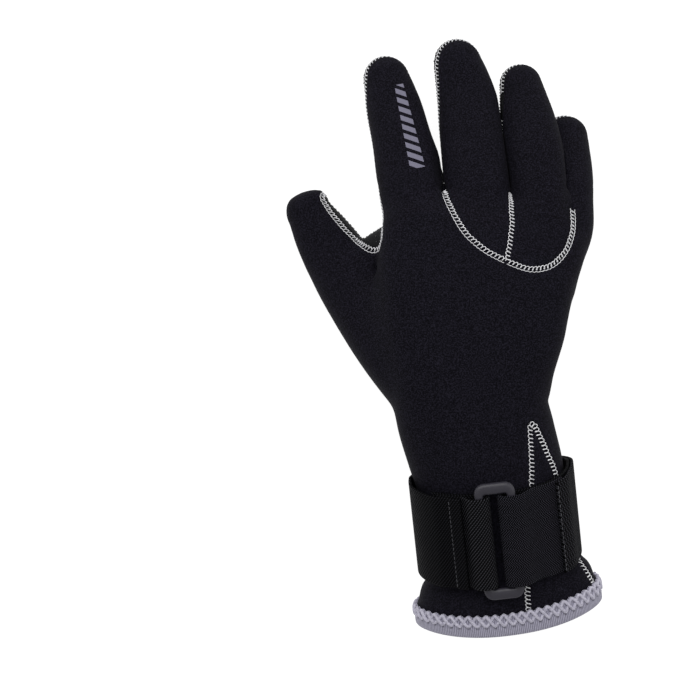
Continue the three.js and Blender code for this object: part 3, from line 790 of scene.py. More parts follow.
def nub_rays(name):
    """Starts and targets of rays that look for nubs, in staggered rows round a tube's palm side."""
    tube = TUBES[name]
    fine = np.linspace(-math.pi * 1.12, math.pi * 0.12, 400)
    tip = 14 if name != "hand" else 0
    for row, station in enumerate(np.arange(1, tube["length"] + tip, NUB_PITCH * 0.866)):
        end = max(0, station - tube["length"])
        f = frames_at(tube, [min(station, tube["length"])])
        past_end = f["along"][0] * end * 0.8
        ring = outlines(f, fine, shrink=math.sqrt(max(0.02, 1 - (end / 15) ** 2)))[0] + past_end
        lengths = lengths_along(ring)
        first = np.interp(-math.pi / 2, fine, lengths) % NUB_PITCH + row % 2 * NUB_PITCH / 2
        for length in np.arange(first, lengths[-1], NUB_PITCH):
            target = np.array([np.interp(length, lengths, column) for column in ring.T])
            yield f["centre"][0] + past_end, target


def nubs(palm_tree, seam_points):
    """Places and ways of the nubs on the palm, clear of its seams and of each other."""
    taken = {}
    found = []
    for name in ("index", "middle", "ring", "little", "thumb", "hand", "web"):
        for start, target in nub_rays(name):
            way = target - start
            size = np.linalg.norm(way)
            if size < 0.5:
                continue
            way /= size
            hit, normal, _, _ = palm_tree.ray_cast(Vector(target - way * 3.5), Vector(way), 8.5)
            if hit is None or normal.dot(Vector(way)) < 0.25:
                continue
            if seam_points.find(hit)[2] < NUBS_CLEAR_OF_SEAM:
                continue
            cell = tuple(int(math.floor(c / 2)) for c in hit)
            around = product(*((c - 1, c, c + 1) for c in cell))
            near = (other for place in around for other in taken.get(place, ()))
            if any((other - hit).length < NUB_PITCH * 0.78 for other in near):
                continue
            taken.setdefault(cell, []).append(hit.copy())
            found.append((hit.copy(), normal.copy()))
    return found


def nub_mesh(places):
    """A small dome at each place, flattened where it rests on the floor."""
    meshes = []
    stretch = Matrix.Diagonal((1, 1, 1.05, 1))
    for start in range(0, len(places), 150):
        bm = bmesh.new()
        for place, way in places[start : start + 150]:
            turn = way.to_track_quat("Z", "Y").to_matrix().to_4x4()
            matrix = Matrix.Translation(place - way * 0.06) @ turn @ stretch
            bmesh.ops.create_icosphere(bm, subdivisions=1, radius=NUB_RADIUS, matrix=matrix)
        for v in bm.verts:
            v.co.z = max(v.co.z, ON_FLOOR)
        meshes.append(mesh_of(bm, "nubs"))
    return joined(meshes, "palm_nubs")


# Materials

# The sizes of their grains in mm, each from its grains to the millimetre
KNIT = 1 / 1.5  # jersey stitches, drawn about twice as coarse as the real ones, so that they show
CLOUD = 1 / 0.045
GRIP_GRAIN = 1 / 1.1
NUB_WEAR = 1 / 0.16
THREAD_TWIST = 1 / 1.4
BINDING_TWIST = 1 / 0.9
BINDING_FUZZ = 1 / 0.7
BINDING_RIB = 0.9
BUCKLE_GRAIN = 1 / 1.5  # spark erosion, drawn coarser than its real 0.1 mm


def linear(code):
    """An sRGB hex colour as linear values."""
    parts = [int(code[i : i + 2], 16) / 255 for i in (1, 3, 5)]
    return [c / 12.92 if c <= 0.04045 else ((c + 0.055) / 1.055) ** 2.4 for c in parts] + [1]


def node(tree, kind, inputs=None, **settings):
    """Adds a node with its settings, and sets its inputs or links them to sockets or nodes' first outputs."""
    made = tree.nodes.new(kind)
    for name, value in settings.items():
        setattr(made, name, value)
    for name, value in (inputs or {}).items():
        if isinstance(value, bpy.types.Node):
            value = value.outputs[0]
        if isinstance(value, bpy.types.NodeSocket):
            tree.links.new(value, made.inputs[name])
        else:
            made.inputs[name].default_value = value
    return made


def new_material(name, finish_values):
    """A material whose shader has its own values set, its node tree and its shader."""
    material = bpy.data.materials.new(name)
    material.use_nodes = True
    tree = material.node_tree
    tree.nodes.clear()
    shader = node(tree, "ShaderNodeBsdfPrincipled", finish_values)
    node(tree, "ShaderNodeOutputMaterial", {"Surface": shader})
    return material, tree, shader


def dress(tree, shader, colour, height, strength, depth):
    """Gives the shader its colour, and a relief of some depth in mm."""
    tree.links.new(colour, shader.inputs["Base Color"])
    bump = node(tree, "ShaderNodeBump", {"Height": height, "Strength": strength, "Distance": depth * MM})
    tree.links.new(bump.outputs["Normal"], shader.inputs["Normal"])


def grained(name, dark, light, size, strength, depth, finish_values):
    """A material whose colour and relief follow one grain of a size in mm."""
    material, tree, shader = new_material(name, finish_values)
    place = node(tree, "ShaderNodeTexCoord").outputs["Object"]
    grain = node(tree, "ShaderNodeTexNoise", {"Vector": place, "Scale": 1 / (size * MM), "Detail": 2})
    mix = node(tree, "ShaderNodeMix", {0: grain, 6: linear(dark), 7: linear(light)}, data_type="RGBA")
    dress(tree, shader, mix.outputs[2], grain.outputs["Fac"], strength, depth)
    return material


def neoprene(name, printed=False):
    """Black nylon jersey laminated on foam: a fine knit that drinks light, with paler flecks."""
    material, tree, shader = new_material(name, {
        "Roughness": 0.82, "Sheen Weight": 0.01, "Sheen Roughness": 0.5, "Specular IOR Level": 0.06,
    })
    place = node(tree, "ShaderNodeTexCoord").outputs["Object"]
    knit = node(tree, "ShaderNodeTexNoise", {
        "Vector": place, "Scale": 1 / (KNIT * MM), "Detail": 2, "Roughness": 0.5,
    })
    cloud = node(tree, "ShaderNodeTexNoise", {
        "Vector": place, "Scale": 1 / (CLOUD * MM), "Detail": 3, "Roughness": 0.55,
    })
    cloth = node(tree, "ShaderNodeMix", {
        0: cloud, 6: linear("#060509"), 7: linear("#0b0a11"),
    }, data_type="RGBA")
    fleck = node(tree, "ShaderNodeMapRange", {"Value": knit, 1: 0.42, 2: 0.7, 4: 0.5})
    colour = node(tree, "ShaderNodeMix", {
        0: fleck, 6: cloth.outputs[2], 7: linear("#302e3b"),
    }, data_type="RGBA")
    if printed:
        colour = node(tree, "ShaderNodeMix", {
            0: printed_bars(tree, place), 6: colour.outputs[2], 7: linear("#7d7b8c"),
        }, data_type="RGBA")
    dress(tree, shader, colour.outputs[2], knit.outputs["Fac"], 0.3, 0.2)
    return material


def printed_bars(tree, place):
    """1 on a plain row of slanting bars along the index finger, and 0 beside them."""
    first, last = Vector(PRINT_FROM), Vector(PRINT_TO)
    way = (last - first).normalized()
    half = (last - first).length * MM / 2
    away = node(tree, "ShaderNodeVectorMath", {0: place, 1: (first - MIDDLE) * MM}, operation="SUBTRACT")
    along, across = (
        node(tree, "ShaderNodeVectorMath", {0: away, 1: line}, operation="DOT_PRODUCT").outputs["Value"]
        for line in (way, (way.y, -way.x, 0))
    )
    slanted = node(tree, "ShaderNodeMath", {0: across, 1: PRINT_SLANT, 2: along}, operation="MULTIPLY_ADD")
    turns = node(tree, "ShaderNodeMath", {
        0: slanted, 1: 2 * math.pi / (PRINT_PITCH * MM),
    }, operation="MULTIPLY")
    wave = node(tree, "ShaderNodeMath", {0: turns}, operation="SINE")
    bars = node(tree, "ShaderNodeMath", {0: wave, 1: -0.25}, operation="GREATER_THAN")
    taper = node(tree, "ShaderNodeMath", {
        0: along, 1: -PRINT_TAPER, 2: PRINT_HALF * MM,
    }, operation="MULTIPLY_ADD")
    beside = node(tree, "ShaderNodeMath", {0: across}, operation="ABSOLUTE")
    narrow = node(tree, "ShaderNodeMath", {0: beside, 1: taper}, operation="LESS_THAN")
    centred = node(tree, "ShaderNodeMath", {0: along, 1: half}, operation="SUBTRACT")
    reach = node(tree, "ShaderNodeMath", {0: centred}, operation="ABSOLUTE")
    within = node(tree, "ShaderNodeMath", {0: reach, 1: half}, operation="LESS_THAN")
    both = node(tree, "ShaderNodeMath", {0: bars, 1: narrow}, operation="MULTIPLY")
    return node(tree, "ShaderNodeMath", {0: both, 1: within}, operation="MULTIPLY")


def binding_tape():
    """Grey knitted polyester tape: a fuzzy rib runs across it, its colour painted lighter on the crests and
    darker in the troughs as painted highlight and shade, and the needle holes between the crossing threads
    are darkened with painted shade.
    """
    values = {"Roughness": 0.85, "Sheen Weight": 0.15}
    material, tree, shader = new_material("ribbed_polyester_binding", values)
    place = node(tree, "ShaderNodeTexCoord").outputs["Object"]
    weave = node(tree, "ShaderNodeAttribute", attribute_name="weave").outputs["Vector"]
    parts = node(tree, "ShaderNodeSeparateXYZ", {"Vector": weave})
    turns = node(tree, "ShaderNodeMath", {
        0: parts.outputs["X"], 1: 2 * math.pi / BINDING_RIB,
    }, operation="MULTIPLY")
    rib = node(tree, "ShaderNodeMath", {0: turns}, operation="SINE")
    fuzz = node(tree, "ShaderNodeTexNoise", {"Vector": place, "Scale": 1 / (BINDING_FUZZ * MM), "Detail": 3})
    height = node(tree, "ShaderNodeMath", {0: rib, 1: fuzz}, operation="ADD")
    # Painted highlight and shade: the yarn's colour runs from dark in the rib's troughs to light on its
    # crests, with random tone from the fuzz.
    shade = node(tree, "ShaderNodeMapRange", {"Value": height, 1: -0.6, 2: 1.6})
    yarn = node(tree, "ShaderNodeMix", {
        0: shade, 6: linear("#727080"), 7: linear("#b9b6c9"),
    }, data_type="RGBA")
    # Painted shade: the colour darkens towards #2c2a36 in the needle holes between the crossing threads,
    # where weave's third value is high.
    pit_shade = node(tree, "ShaderNodeMath", {0: parts.outputs["Z"], 1: 0.8}, operation="MULTIPLY")
    colour = node(tree, "ShaderNodeMix", {
        0: pit_shade, 6: yarn.outputs[2], 7: linear("#2c2a36"),
    }, data_type="RGBA")
    dress(tree, shader, colour.outputs[2], height.outputs[0], 0.5, 0.3)
    return material


def webbing(name, pitch, dark, light, lean, roughness, floor, turn=None):
    """Black woven webbing: yarns float over each other, so ridges a pitch apart lean across it.

    Its colour follows the height: ridges take the light colour as painted highlight, and heights under the
    floor are as dark as the gaps between yarns, as painted shade. With a turn, in mm, the ridges zigzag.
    """
    material, tree, shader = new_material(name, {"Roughness": roughness, "Specular IOR Level": 0.06})
    weave = node(tree, "ShaderNodeAttribute", attribute_name="weave").outputs["Vector"]
    parts = node(tree, "ShaderNodeSeparateXYZ", {"Vector": weave})
    along, across = parts.outputs["X"], parts.outputs["Y"]
    sway = node(tree, "ShaderNodeMath", {0: across, 1: turn}, operation="PINGPONG") if turn else across
    slant = node(tree, "ShaderNodeMath", {0: sway, 1: lean, 2: along}, operation="MULTIPLY_ADD")
    turns = node(tree, "ShaderNodeMath", {0: slant, 1: 2 * math.pi / pitch}, operation="MULTIPLY")
    ridge = node(tree, "ShaderNodeMath", {0: turns}, operation="SINE")
    picks = node(tree, "ShaderNodeMath", {0: across, 1: 2 * math.pi / (pitch * 0.62)}, operation="MULTIPLY")
    yarn = node(tree, "ShaderNodeMath", {0: picks}, operation="SINE")
    both = node(tree, "ShaderNodeMath", {0: yarn, 1: 0.35, 2: ridge}, operation="MULTIPLY_ADD")
    # Painted highlight on the ridges and painted shade between the yarns: the colour runs from dark to light
    # with the height.
    shade = node(tree, "ShaderNodeMapRange", {"Value": both, 1: floor, 2: 1.3})
    mix = node(tree, "ShaderNodeMix", {0: shade, 6: linear(dark), 7: linear(light)}, data_type="RGBA")
    dress(tree, shader, mix.outputs[2], both.outputs[0], 0.7, 0.3)
    return material


def backdrop_paper():
    """White backdrop paper, lit evenly from behind."""
    return new_material("white_backdrop_paper", {
        "Base Color": linear("#9a9a9a"), "Emission Color": linear("#ffffff"), "Emission Strength": 0.9,
        "Roughness": 0.95, "Specular IOR Level": 0.1,
    })[0]


SKIN = neoprene("nylon_jersey_neoprene")
PRINTED = neoprene("printed_nylon_jersey_neoprene", printed=True)
# Rubber-coated fabric: matt, with a slight grain
GRIP = grained("coated_grip_fabric", "#0a0a0c", "#151518", GRIP_GRAIN, 0.25, 0.2,
               {"Roughness": 0.7, "Specular IOR Level": 0.15})
# Moulded rubber: each nub carries a small bright highlight
NUB_RUBBER = grained("moulded_rubber_nubs", "#141416", "#2a2a2f", NUB_WEAR, 0, 0.1, {"Roughness": 0.28})
# Bulked polyester threads: matt and slightly hairy
HAIRY = {"Roughness": 0.75, "Sheen Weight": 0.2}
WHITE_THREAD = grained("overlock_thread", "#dcdce2", "#ffffff", THREAD_TWIST, 0.4, 0.1, HAIRY)
GREY_THREAD = grained("binding_thread", "#7a778a", "#e4e1f0", BINDING_TWIST, 0.4, 0.1, HAIRY)
DARK_THREAD = grained("tape_thread", "#3a3a40", "#66666d", THREAD_TWIST, 0.4, 0.1, HAIRY)
# Moulded nylon: a fine spark-eroded grain and a soft highlight
BUCKLE_NYLON = grained("moulded_nylon_buckle", "#29272f", "#33313b", BUCKLE_GRAIN, 0.15, 0.1,
                       {"Roughness": 0.42})
BINDING = binding_tape()
# The same twill webbing in a lighter and a darker copy: the lighter one is painted highlight where the loop
# stands over the buckle's bar, and the darker one is painted shade on the strap's flat runs.
TWILL = webbing("elastic_twill_webbing", 1.5, "#020203", "#47474d", 0.8, 0.7, 0.42)
SHADED_TWILL = webbing("elastic_twill_webbing_shaded", 1.5, "#010102", "#242429", 0.8, 0.7, 0.35)
HOOKS = webbing("hook_tape_weave", 1.7, "#010102", "#3f3f45", 0.7, 0.85, 0.4, turn=1.7)
PILE = webbing("brushed_loop_pile", 1.15, "#010102", "#474650", 0.9, 0.9, 0.3, turn=3.1)


# Panels, their seams and the palm's nubs

def seam_lines_of(bm, panel):
    """The lines that are sewn, each with its two panels, as places and ways out of the skin."""
    seam_lines = []
    runs = seams_of(bm, panel)
    bm.verts.ensure_lookup_table()
    for kind, run in runs:
        line = np.array([list(bm.verts[i].co) + list(bm.verts[i].normal) for i in run])
        line[:, :3] = eased(line[:, :3], 6, run[0] == run[-1])
        for i, place in zip(run, line):
            bm.verts[i].co = place[:3]
        # The stitches stop where the fingers part.
        if kind == (MIDDLE_BACK, RING_BACK):
            line = line[line[:, 1] < 97.5]
        elif kind in ((BACK, MIDDLE_BACK), (BACK, RING_BACK)):
            line = line[(line[:, 0] < 30) | (line[:, 1] < 90.5)]
        if len(line) < 4:
            continue
        # A palm seam runs with the palm on its left, and a seam on the back runs towards the little finger.
        sides = np.cross(line[:, 3:6], np.gradient(line[:, :3], axis=0))
        backward = sides[:, 2].sum() > 0 if kind[0] == PALM else line[0, 0] > line[-1, 0]
        seam_lines.append((kind, line[::-1] if backward else line))
    seam_lines.append(((BACK, BACK), cuff_seam_line(bm)))
    return seam_lines


def drawn_in(bm, seam_points):
    """Seams draw the panels' edges in, and the foam swells a little beside them."""
    moves = []
    for v in bm.verts:
        share = seam_points.find(v.co)[2] / GROOVE_WIDTH
        if share < 2.5:
            depth = GROOVE_DEPTH * math.exp(-(share**2)) - 0.18 * math.exp(-((share - 1.7) ** 2) * 3)
            moves.append((v, v.co - v.normal * depth))
    for v, place in moves:
        v.co = place


def build_panels():
    """The five panels with their walls, the threads of their seams and the palm's nubs."""
    bm, panel = panelled_skin()
    seam_lines = seam_lines_of(bm, panel)
    bm.normal_update()
    body = BVHTree.FromBMesh(bm)
    palm_only = panel_of(bm, PALM)
    palm_tree = BVHTree.FromBMesh(palm_only)
    palm_only.free()
    dense = np.vstack([resampled(line, 0.5)[0] for _, line in seam_lines])
    seam_points = KDTree(len(dense))
    for i, place in enumerate(dense):
        seam_points.insert(place[:3], i)
    seam_points.balance()
    drawn_in(bm, seam_points)

    for number, name in enumerate(PANELS):
        material = {PALM: GRIP, BACK: PRINTED}.get(number, SKIN)
        obj = finish(name + "_cloth", mesh_of(panel_of(bm, number), name), [material], name)
        wall = obj.modifiers.new("wall", "SOLIDIFY")
        wall.thickness = WALL * MM
        wall.offset = -1
    bm.free()
    sew(seam_lines, body)
    finish("palm_nubs", nub_mesh(nubs(palm_tree, seam_points)), [NUB_RUBBER])


def sew(seam_lines, body):
    """The palm's and the back's threads. A chain lies beside the loops where one edge is turned under."""
    loops = {"palm_seam_thread": [], "back_seam_thread": []}
    chains = {"palm_seam_thread": [], "back_seam_thread": []}
    for kind, line in seam_lines:
        under = kind[0] == PALM or kind == (BACK, BACK)
        where = "palm_seam_thread" if under else "back_seam_thread"
        reach = STITCH_REACH
        chain_side = 1
        if kind == (BACK, CUFF_GUSSET):
            reach = STITCH_REACH_ON_GUSSET
            chain_side = 0
        elif kind == (MIDDLE_BACK, RING_BACK):
            chain_side = 0
        elif kind[0] != PALM:
            chain_side = side_of_back(line)
        over, beside = stitch_run(line, body, chain_side, reach)
        loops[where] += over
        chains[where] += beside
    for where in loops:
        parts = [thread("loops", loops[where], THREAD)]
        if chains[where]:
            parts.append(thread("chain", chains[where], THREAD * 0.9))
        finish(where, joined(parts, where), [WHITE_THREAD])


def panel_of(bm, number):
    """A copy of the skin with one panel's faces alone."""
    part = bm.copy()
    panel = part.faces.layers.int["panel"]
    bmesh.ops.delete(part, geom=[f for f in part.faces if f[panel] != number], context="FACES")
    return part


def side_of_back(line):
    """1 or -1: the side of a line on the back that is away from the fingertips or the hem."""
    middle = len(line) // 2
    way = line[min(middle + 2, len(line) - 1), :2] - line[max(middle - 2, 0), :2]
    return 1 if way[0] > 0 else -1


def cuff_seam_line(bm):
    """The seam that closes the cuff, projected on the skin from below."""
    tree = BVHTree.FromBMesh(bm)
    found = []
    for x, y in smooth_line(CUFF_SEAM, 120):
        hit, normal, _, _ = tree.ray_cast(Vector((x, y, -10)), Vector((0, 0, 1)), 80)
        if hit is not None and normal.z < 0 and y < -18:
            found.append(list(hit) + list(normal))
    return np.array(found)


# The binding round the hem

def binding_profile():
    """The tape's section: distances from the hem and heights over the skin, round its fold."""
    outside = BINDING_GAP + BINDING_TAPE
    inside = -WALL - outside
    middle, half = (outside + inside) / 2, (outside - inside) / 2
    upper, under, start = BINDING_WIDTH, -WALL - BINDING_GAP, HEM_INSET - BINDING_GAP
    fold = [(1.6 - 1.6 * math.sin(t), middle + half * math.cos(t)) for t in np.linspace(0, math.pi, 11)]
    return [
        (upper, BINDING_GAP + 0.1), (upper + 0.25, outside - 0.75), (upper - 0.1, outside - 0.15),
        (upper - 0.9, outside + 0.12), *((d, outside + 0.15) for d in (8.4, 7.2, 6.0, 5.0, 4.0, 3.0)),
        *fold, *((d, inside - 0.05) for d in (3.5, 5.5, 7.5)),
        (upper - 0.4, inside + 0.1), (upper, inside + 0.6), (upper - 0.3, under),
        (6, under), (start, under), (start, BINDING_GAP), (6, BINDING_GAP),
    ]


def build_binding():
    """The tape folded over the hem, and the thread that holds it."""
    hand = TUBES["hand"]
    outside = BINDING_GAP + BINDING_TAPE
    angles = np.arange(BINDING_SIDES) / BINDING_SIDES * 2 * math.pi
    hem = outlines(frames_at(hand, [0]), angles)[0]
    lengths = lengths_along(np.vstack([hem, hem[:1]]))
    girth = lengths[-1]
    count = round(girth / ZIGZAG_PITCH)
    # 1 midway between two crossings of the threads, where the tape stands out in scallops, and -1 at each.
    wave = np.cos(lengths[:-1] / girth * count * 4 * math.pi + math.pi)
    profile = binding_profile()
    rings = []
    for distance, grow in profile:
        at_edge = grow > 0 and distance > BINDING_WIDTH - 1
        under_threads = grow > 1 and 5 < distance < BINDING_WIDTH - 0.5
        section = frames_at(hand, [distance])
        ring = outlines(section, angles, grow)[0]
        outward = ring - outlines(section, angles, grow - 1)[0]
        ring += section["along"][0] * (SCALLOP * at_edge * wave)[:, None]
        ring += outward * (0.16 * under_threads * (wave - 0.6))[:, None]
        ring = pressed(ring, "hand", grow, outside)
        ring[:, 2] = np.maximum(ring[:, 2], ON_FLOOR)
        rings.append(ring)
    bm = bmesh.new()
    weave = bm.verts.layers.float_vector.new("weave")
    for verts, (distance, grow) in zip(loft(bm, rings, closed=True), profile):
        # Painted shade: weave's third value marks the needle holes between the crossing threads, where the
        # tape's colour is darkened.
        shaded_pit_band = grow > 1 and 4.5 < distance < 6.5
        for v, length, high in zip(verts, lengths, wave):
            v[weave] = (length, distance, shaded_pit_band * (0.5 + 0.5 * high) ** 4)
    bmesh.ops.recalc_face_normals(bm, faces=bm.faces)
    finish("cuff_binding_tape", mesh_of(bm, "cuff_binding"), [BINDING], "cuff_binding")

    # Two zigzags of thread cross over the tape's upper edge.
    turns = np.arange(count * 20 + 1) / 20
    angle = np.interp(turns * girth / count % girth, lengths, np.append(angles, 2 * math.pi))
    paths = []
    for shift in (0, 0.5):
        phase = (turns + shift) * 2 * math.pi
        swing = np.arcsin(np.sin(phase) * 0.96) / 1.29
        sections = frames_at(hand, BINDING_WIDTH - 2.3 + 2.4 * swing)
        grow = outside + 0.3 + 0.4 * np.cos(phase)
        places = outlines(sections, angle, grow[:, None]).diagonal().T
        paths.append(pressed(places, "hand", outside + 0.3, outside))
    mesh = thread("binding_zigzag", paths, ZIGZAG_THREAD)
    for v in mesh.vertices:
        v.co.z = max(v.co.z, ON_FLOOR)
    finish("binding_zigzag_thread", mesh, [GREY_THREAD])


# The strap and its buckle, drawn as lines round the wrist

STRAP_AT = np.array([6.3, -60.5, 37.3])
STRAP_LEAN = 0.23  # how far its top is set back towards the hem, for each mm of height
STRAP_LEAN_BELOW = 0.1  # and its underside
PILE_LENGTH = 41
RIBBON_STEP = 0.8
WRIST_WIDE = 37.6
WRIST_HIGH = 26.1
WRIST_SQUARE = 2.25
LAYER = STRAP_THICKNESS + LAYER_GAP
BUCKLE_WIDTH = 20
BUCKLE_LENGTH = 58.5
BUCKLE_THICK = 3
BUCKLE_BAR = 4.2
BUCKLE_END = 5.4
BUCKLE_CORNER = 5
BAR_IN = BUCKLE_WIDTH / 2 - BUCKLE_BAR


def round_wrist(degrees, layer):
    """A place on a layer round the wrist, beside and over its middle; 0 degrees is on the right."""
    power = 2 / WRIST_SQUARE
    c, s = math.cos(math.radians(degrees)), math.sin(math.radians(degrees))
    off = LAYER_GAP + STRAP_THICKNESS / 2 + layer * LAYER
    return (
        math.copysign(abs(c) ** power, c) * (WRIST_WIDE + off),
        math.copysign(abs(s) ** power, s) * (WRIST_HIGH + off),
    )


def wrist_top(u, layer):
    """A place on a layer over the wrist's flat top."""
    return u, round_wrist(90, layer)[1] - u * u * WRIST_HIGH / (2 * WRIST_WIDE * WRIST_WIDE)


BUCKLE_MIDDLE = round_wrist(90, 1)[1] + BUCKLE_THICK / 2 - STRAP_THICKNESS / 2
OVER_BAR = BUCKLE_MIDDLE + (BUCKLE_THICK + STRAP_THICKNESS) / 2 + LAYER_GAP


def round_bar(side, reach):
    """A band's line round a bar of the buckle; side is 1 for the right bar and -1 for the left one."""
    radius = (BUCKLE_THICK + STRAP_THICKNESS) / 2 + LAYER_GAP
    return [
        (side * (BAR_IN + 1.7 - reach * math.cos(t)), BUCKLE_MIDDLE + radius * math.sin(t))
        for t in np.linspace(-math.pi / 2, math.pi / 2, 13)
    ]


def arc(start, end, layers):
    """A band's line round the wrist between two angles, on a layer, or on layers that change on the way."""
    degrees = np.linspace(start, end, max(1, int(abs(end - start) / 2)) + 1)
    if isinstance(layers, tuple):
        return [round_wrist(d, layer) for d, layer in zip(degrees, np.interp(degrees, *layers))]
    return [round_wrist(d, layers) for d in degrees]


def on_wrist(u, w, v):
    """A place beside, over and along the wrist, counted from the strap's middle towards the hem."""
    f = frames_at(TUBES["hand"], [STRAP_AT[1] - HAND[0][1]])
    u, w, v = (np.asarray(n, float)[..., None] for n in (u, w, v))
    back = v + np.where(w > 0, STRAP_LEAN * w, -STRAP_LEAN_BELOW * w)
    return STRAP_AT + f["across"][0] * u + f["upright"][0] * w - f["along"][0] * back


def ribbon_profile(thickness):
    """A band's section: places across it and over its middle, with rounded edges."""
    half, t = STRAP_WIDTH / 2, thickness / 2
    body = np.linspace(-half + 0.8, half - 0.8, 16)
    edge = [(half - 0.3, t * 0.8), (half, 0), (half - 0.3, -t * 0.8)]
    return np.array(
        [(v, t) for v in body] + edge + [(v, -t) for v in body[::-1]] + [(-v, -h) for v, h in edge]
    )


def ribbon(
    name, line, materials, replaces=None, thickness=STRAP_THICKNESS, slant=1, folded=0, second=None
):
    """A flat band that follows a line round the wrist, with its start folded double over a length.

    Where second says so of a distance along it, it has its second material.
    """
    line = np.array(line, float)
    line, length = resampled(np.hstack([line, np.zeros((len(line), 1))]), RIBBON_STEP)
    line = eased(line[:, :2], 3, False)
    ways = np.gradient(line, axis=0)
    ways /= np.linalg.norm(ways, axis=1)[:, None]
    profile = ribbon_profile(thickness)
    rings = []
    for i, (place, way) in enumerate(zip(line, ways)):
        double = min(max((folded - i * RIBBON_STEP) / 1.2, 0), 1)
        off = profile[:, 1] * (1 + 0.8 * double) - 0.4 * thickness * double
        rings.append(on_wrist(place[0] - way[1] * off, place[1] + way[0] * off, profile[:, 0]))
    bm = bmesh.new()
    weave = bm.verts.layers.float_vector.new("weave")
    for verts, far in zip(loft(bm, rings), np.linspace(0, length, len(rings))):
        for v, (across, high) in zip(verts, profile):
            v[weave] = (far, across * slant, high)
    bmesh.ops.recalc_face_normals(bm, faces=bm.faces)
    if second:
        for f in bm.faces:
            f.material_index = int(second(sum(v[weave].x for v in f.verts) / len(f.verts), length))
    finish(name, mesh_of(bm, name), materials, replaces)


def build_strap():
    """The strap, its loop, the hook tape and their stitches."""
    # The sewn loop round the buckle's left bar
    line = [wrist_top(-30, 0), wrist_top(-22, 0), wrist_top(-14, 0), wrist_top(-9, 0.1)]
    line += round_bar(-1, 4.4)
    line += [(-10, OVER_BAR - 0.05), (-12.4, OVER_BAR - 0.7), (-13.9, OVER_BAR - 2.4)]
    line += [wrist_top(-15.4, 1.1), wrist_top(-18, 0.98), wrist_top(-28, 0.98)]
    # The loop's run round and over the buckle's left bar takes the lighter twill copy, as painted highlight;
    # the rest takes the darker copy, as painted shade.
    ribbon("strap_loop", line, [SHADED_TWILL, TWILL], thickness=1.5, slant=-1,
           second=lambda far, length: 23 < far < length - 13)
    # The strap, from its folded end on the loop, round the wrist and round the right bar, back to its pile
    line = [wrist_top(-16.8, 2.0), wrist_top(-20, 1.97), wrist_top(-25, 1.95)]
    line += arc(130, 432, ((130, 165, 185, 432), (1.9, 1.1, 0.05, 0)))
    line += [wrist_top(8.5, 0.1)] + round_bar(1, 6.2)
    line += [(9, OVER_BAR - 0.05), (12.5, OVER_BAR - 0.7), wrist_top(16.5, 1.7), wrist_top(20, 1.15)]
    line += arc(57, 36, 1.0)
    ribbon("wrist_strap_webbing", line, [SHADED_TWILL, PILE], "wrist_strap", slant=-1,
           folded=6, second=lambda far, length: far > length - PILE_LENGTH)
    line = arc(46, -96, ((-96, 22, 34, 46), (1.08, 1.08, 1.9, 2.05))) + arc(-100, -110, 1.3)
    ribbon("hook_tape_band", line, [HOOKS], "hook_tape")

    # Running stitches beside the strap's folded end and along the edge of the hook tape
    dashes = []
    for (u, w), over in ((wrist_top(-22.6, 2.0), 1.35), (round_wrist(44.6, 2.05), 1.25)):
        high = w + over - np.array([0.3, 0, 0.3])
        for v in np.arange(-21, 21, 2.3):
            dashes.append(on_wrist(np.full(3, u), high, v + np.array([0, 0.7, 1.4])))
    finish("strap_stitches", thread("strap_stitches", dashes, 0.13), [DARK_THREAD])


def rounded_rectangle(width, height, corner):
    """Places round a rectangle with rounded corners, seven on each corner."""
    places = []
    for quarter, (x, y) in enumerate([(1, 1), (-1, 1), (-1, -1), (1, -1)]):
        for turn in np.linspace(0, math.pi / 2, 7):
            angle = quarter * math.pi / 2 + turn
            places.append((
                x * (width / 2 - corner) + corner * math.cos(angle),
                y * (height / 2 - corner) + corner * math.sin(angle),
            ))
    return np.array(places)


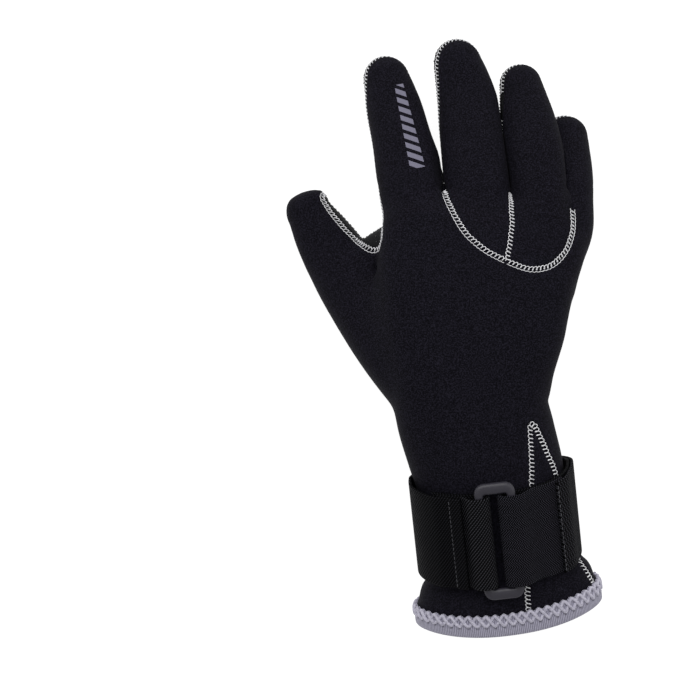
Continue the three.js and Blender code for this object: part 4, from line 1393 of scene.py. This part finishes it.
def build_buckle():
    """The buckle: a rounded section carried round a rectangle."""
    outer = rounded_rectangle(BUCKLE_WIDTH, BUCKLE_LENGTH, BUCKLE_CORNER)
    inner = rounded_rectangle(BUCKLE_WIDTH - 2 * BUCKLE_BAR, BUCKLE_LENGTH - 2 * BUCKLE_END, 1.2)
    turns = np.arange(16) / 16 * 2 * math.pi
    c, s = (np.sign(n) * np.abs(n) ** 0.7 for n in (np.cos(turns), np.sin(turns)))
    rings = []
    for o, i in zip(outer, inner):
        place = (o + i) / 2 + np.outer(c, o - i) / 2
        rings.append(on_wrist(place[:, 0], BUCKLE_MIDDLE + BUCKLE_THICK / 2 * s, place[:, 1]))
    bm = bmesh.new()
    loft(bm, rings, closed=True)
    bmesh.ops.recalc_face_normals(bm, faces=bm.faces)
    finish("strap_buckle_loop", mesh_of(bm, "buckle"), [BUCKLE_NYLON], "strap_buckle")


# Floor, light and camera

def build_studio():
    """A white floor, two soft boxes, an even surround and the camera."""
    bm = bmesh.new()
    bmesh.ops.create_grid(bm, x_segments=1, y_segments=1, size=3)
    floor = object_of("floor", mesh_of(bm, "floor"))
    floor.data.materials.append(backdrop_paper())

    def lamp(name, place, aim, size, watts):
        light = bpy.data.lights.new(name, "AREA")
        light.shape = "SQUARE"
        light.size = size
        light.energy = watts
        obj = bpy.data.objects.new(name, light)
        obj.location = place
        obj.rotation_euler = (Vector(aim) - Vector(place)).to_track_quat("-Z", "Y").to_euler()
        bpy.context.scene.collection.objects.link(obj)

    lamp("top_softbox", (-0.35, 0.85, 1.35), (0, 0, 0), 1.4, 14)
    lamp("side_softbox", (0.9, 0.1, 1.1), (0, 0, 0), 1.0, 3)
    world = bpy.data.worlds.new("studio")
    world.use_nodes = True
    world.node_tree.nodes["Background"].inputs["Color"].default_value = (1, 1, 1, 1)
    world.node_tree.nodes["Background"].inputs["Strength"].default_value = 0.42
    bpy.context.scene.world = world
    bpy.context.scene.view_settings.view_transform = "Standard"

    camera = bpy.data.objects.new("camera", bpy.data.cameras.new("camera"))
    camera.data.sensor_width = 36
    camera.data.lens = 36 * VIEW_FOCUS / PICTURE_WIDE
    camera.location = (Vector(VIEW_FROM) - MIDDLE) * MM
    bpy.context.scene.collection.objects.link(camera)
    bpy.context.scene.camera = camera


build_panels()
build_binding()
build_strap()
build_buckle()
build_studio()
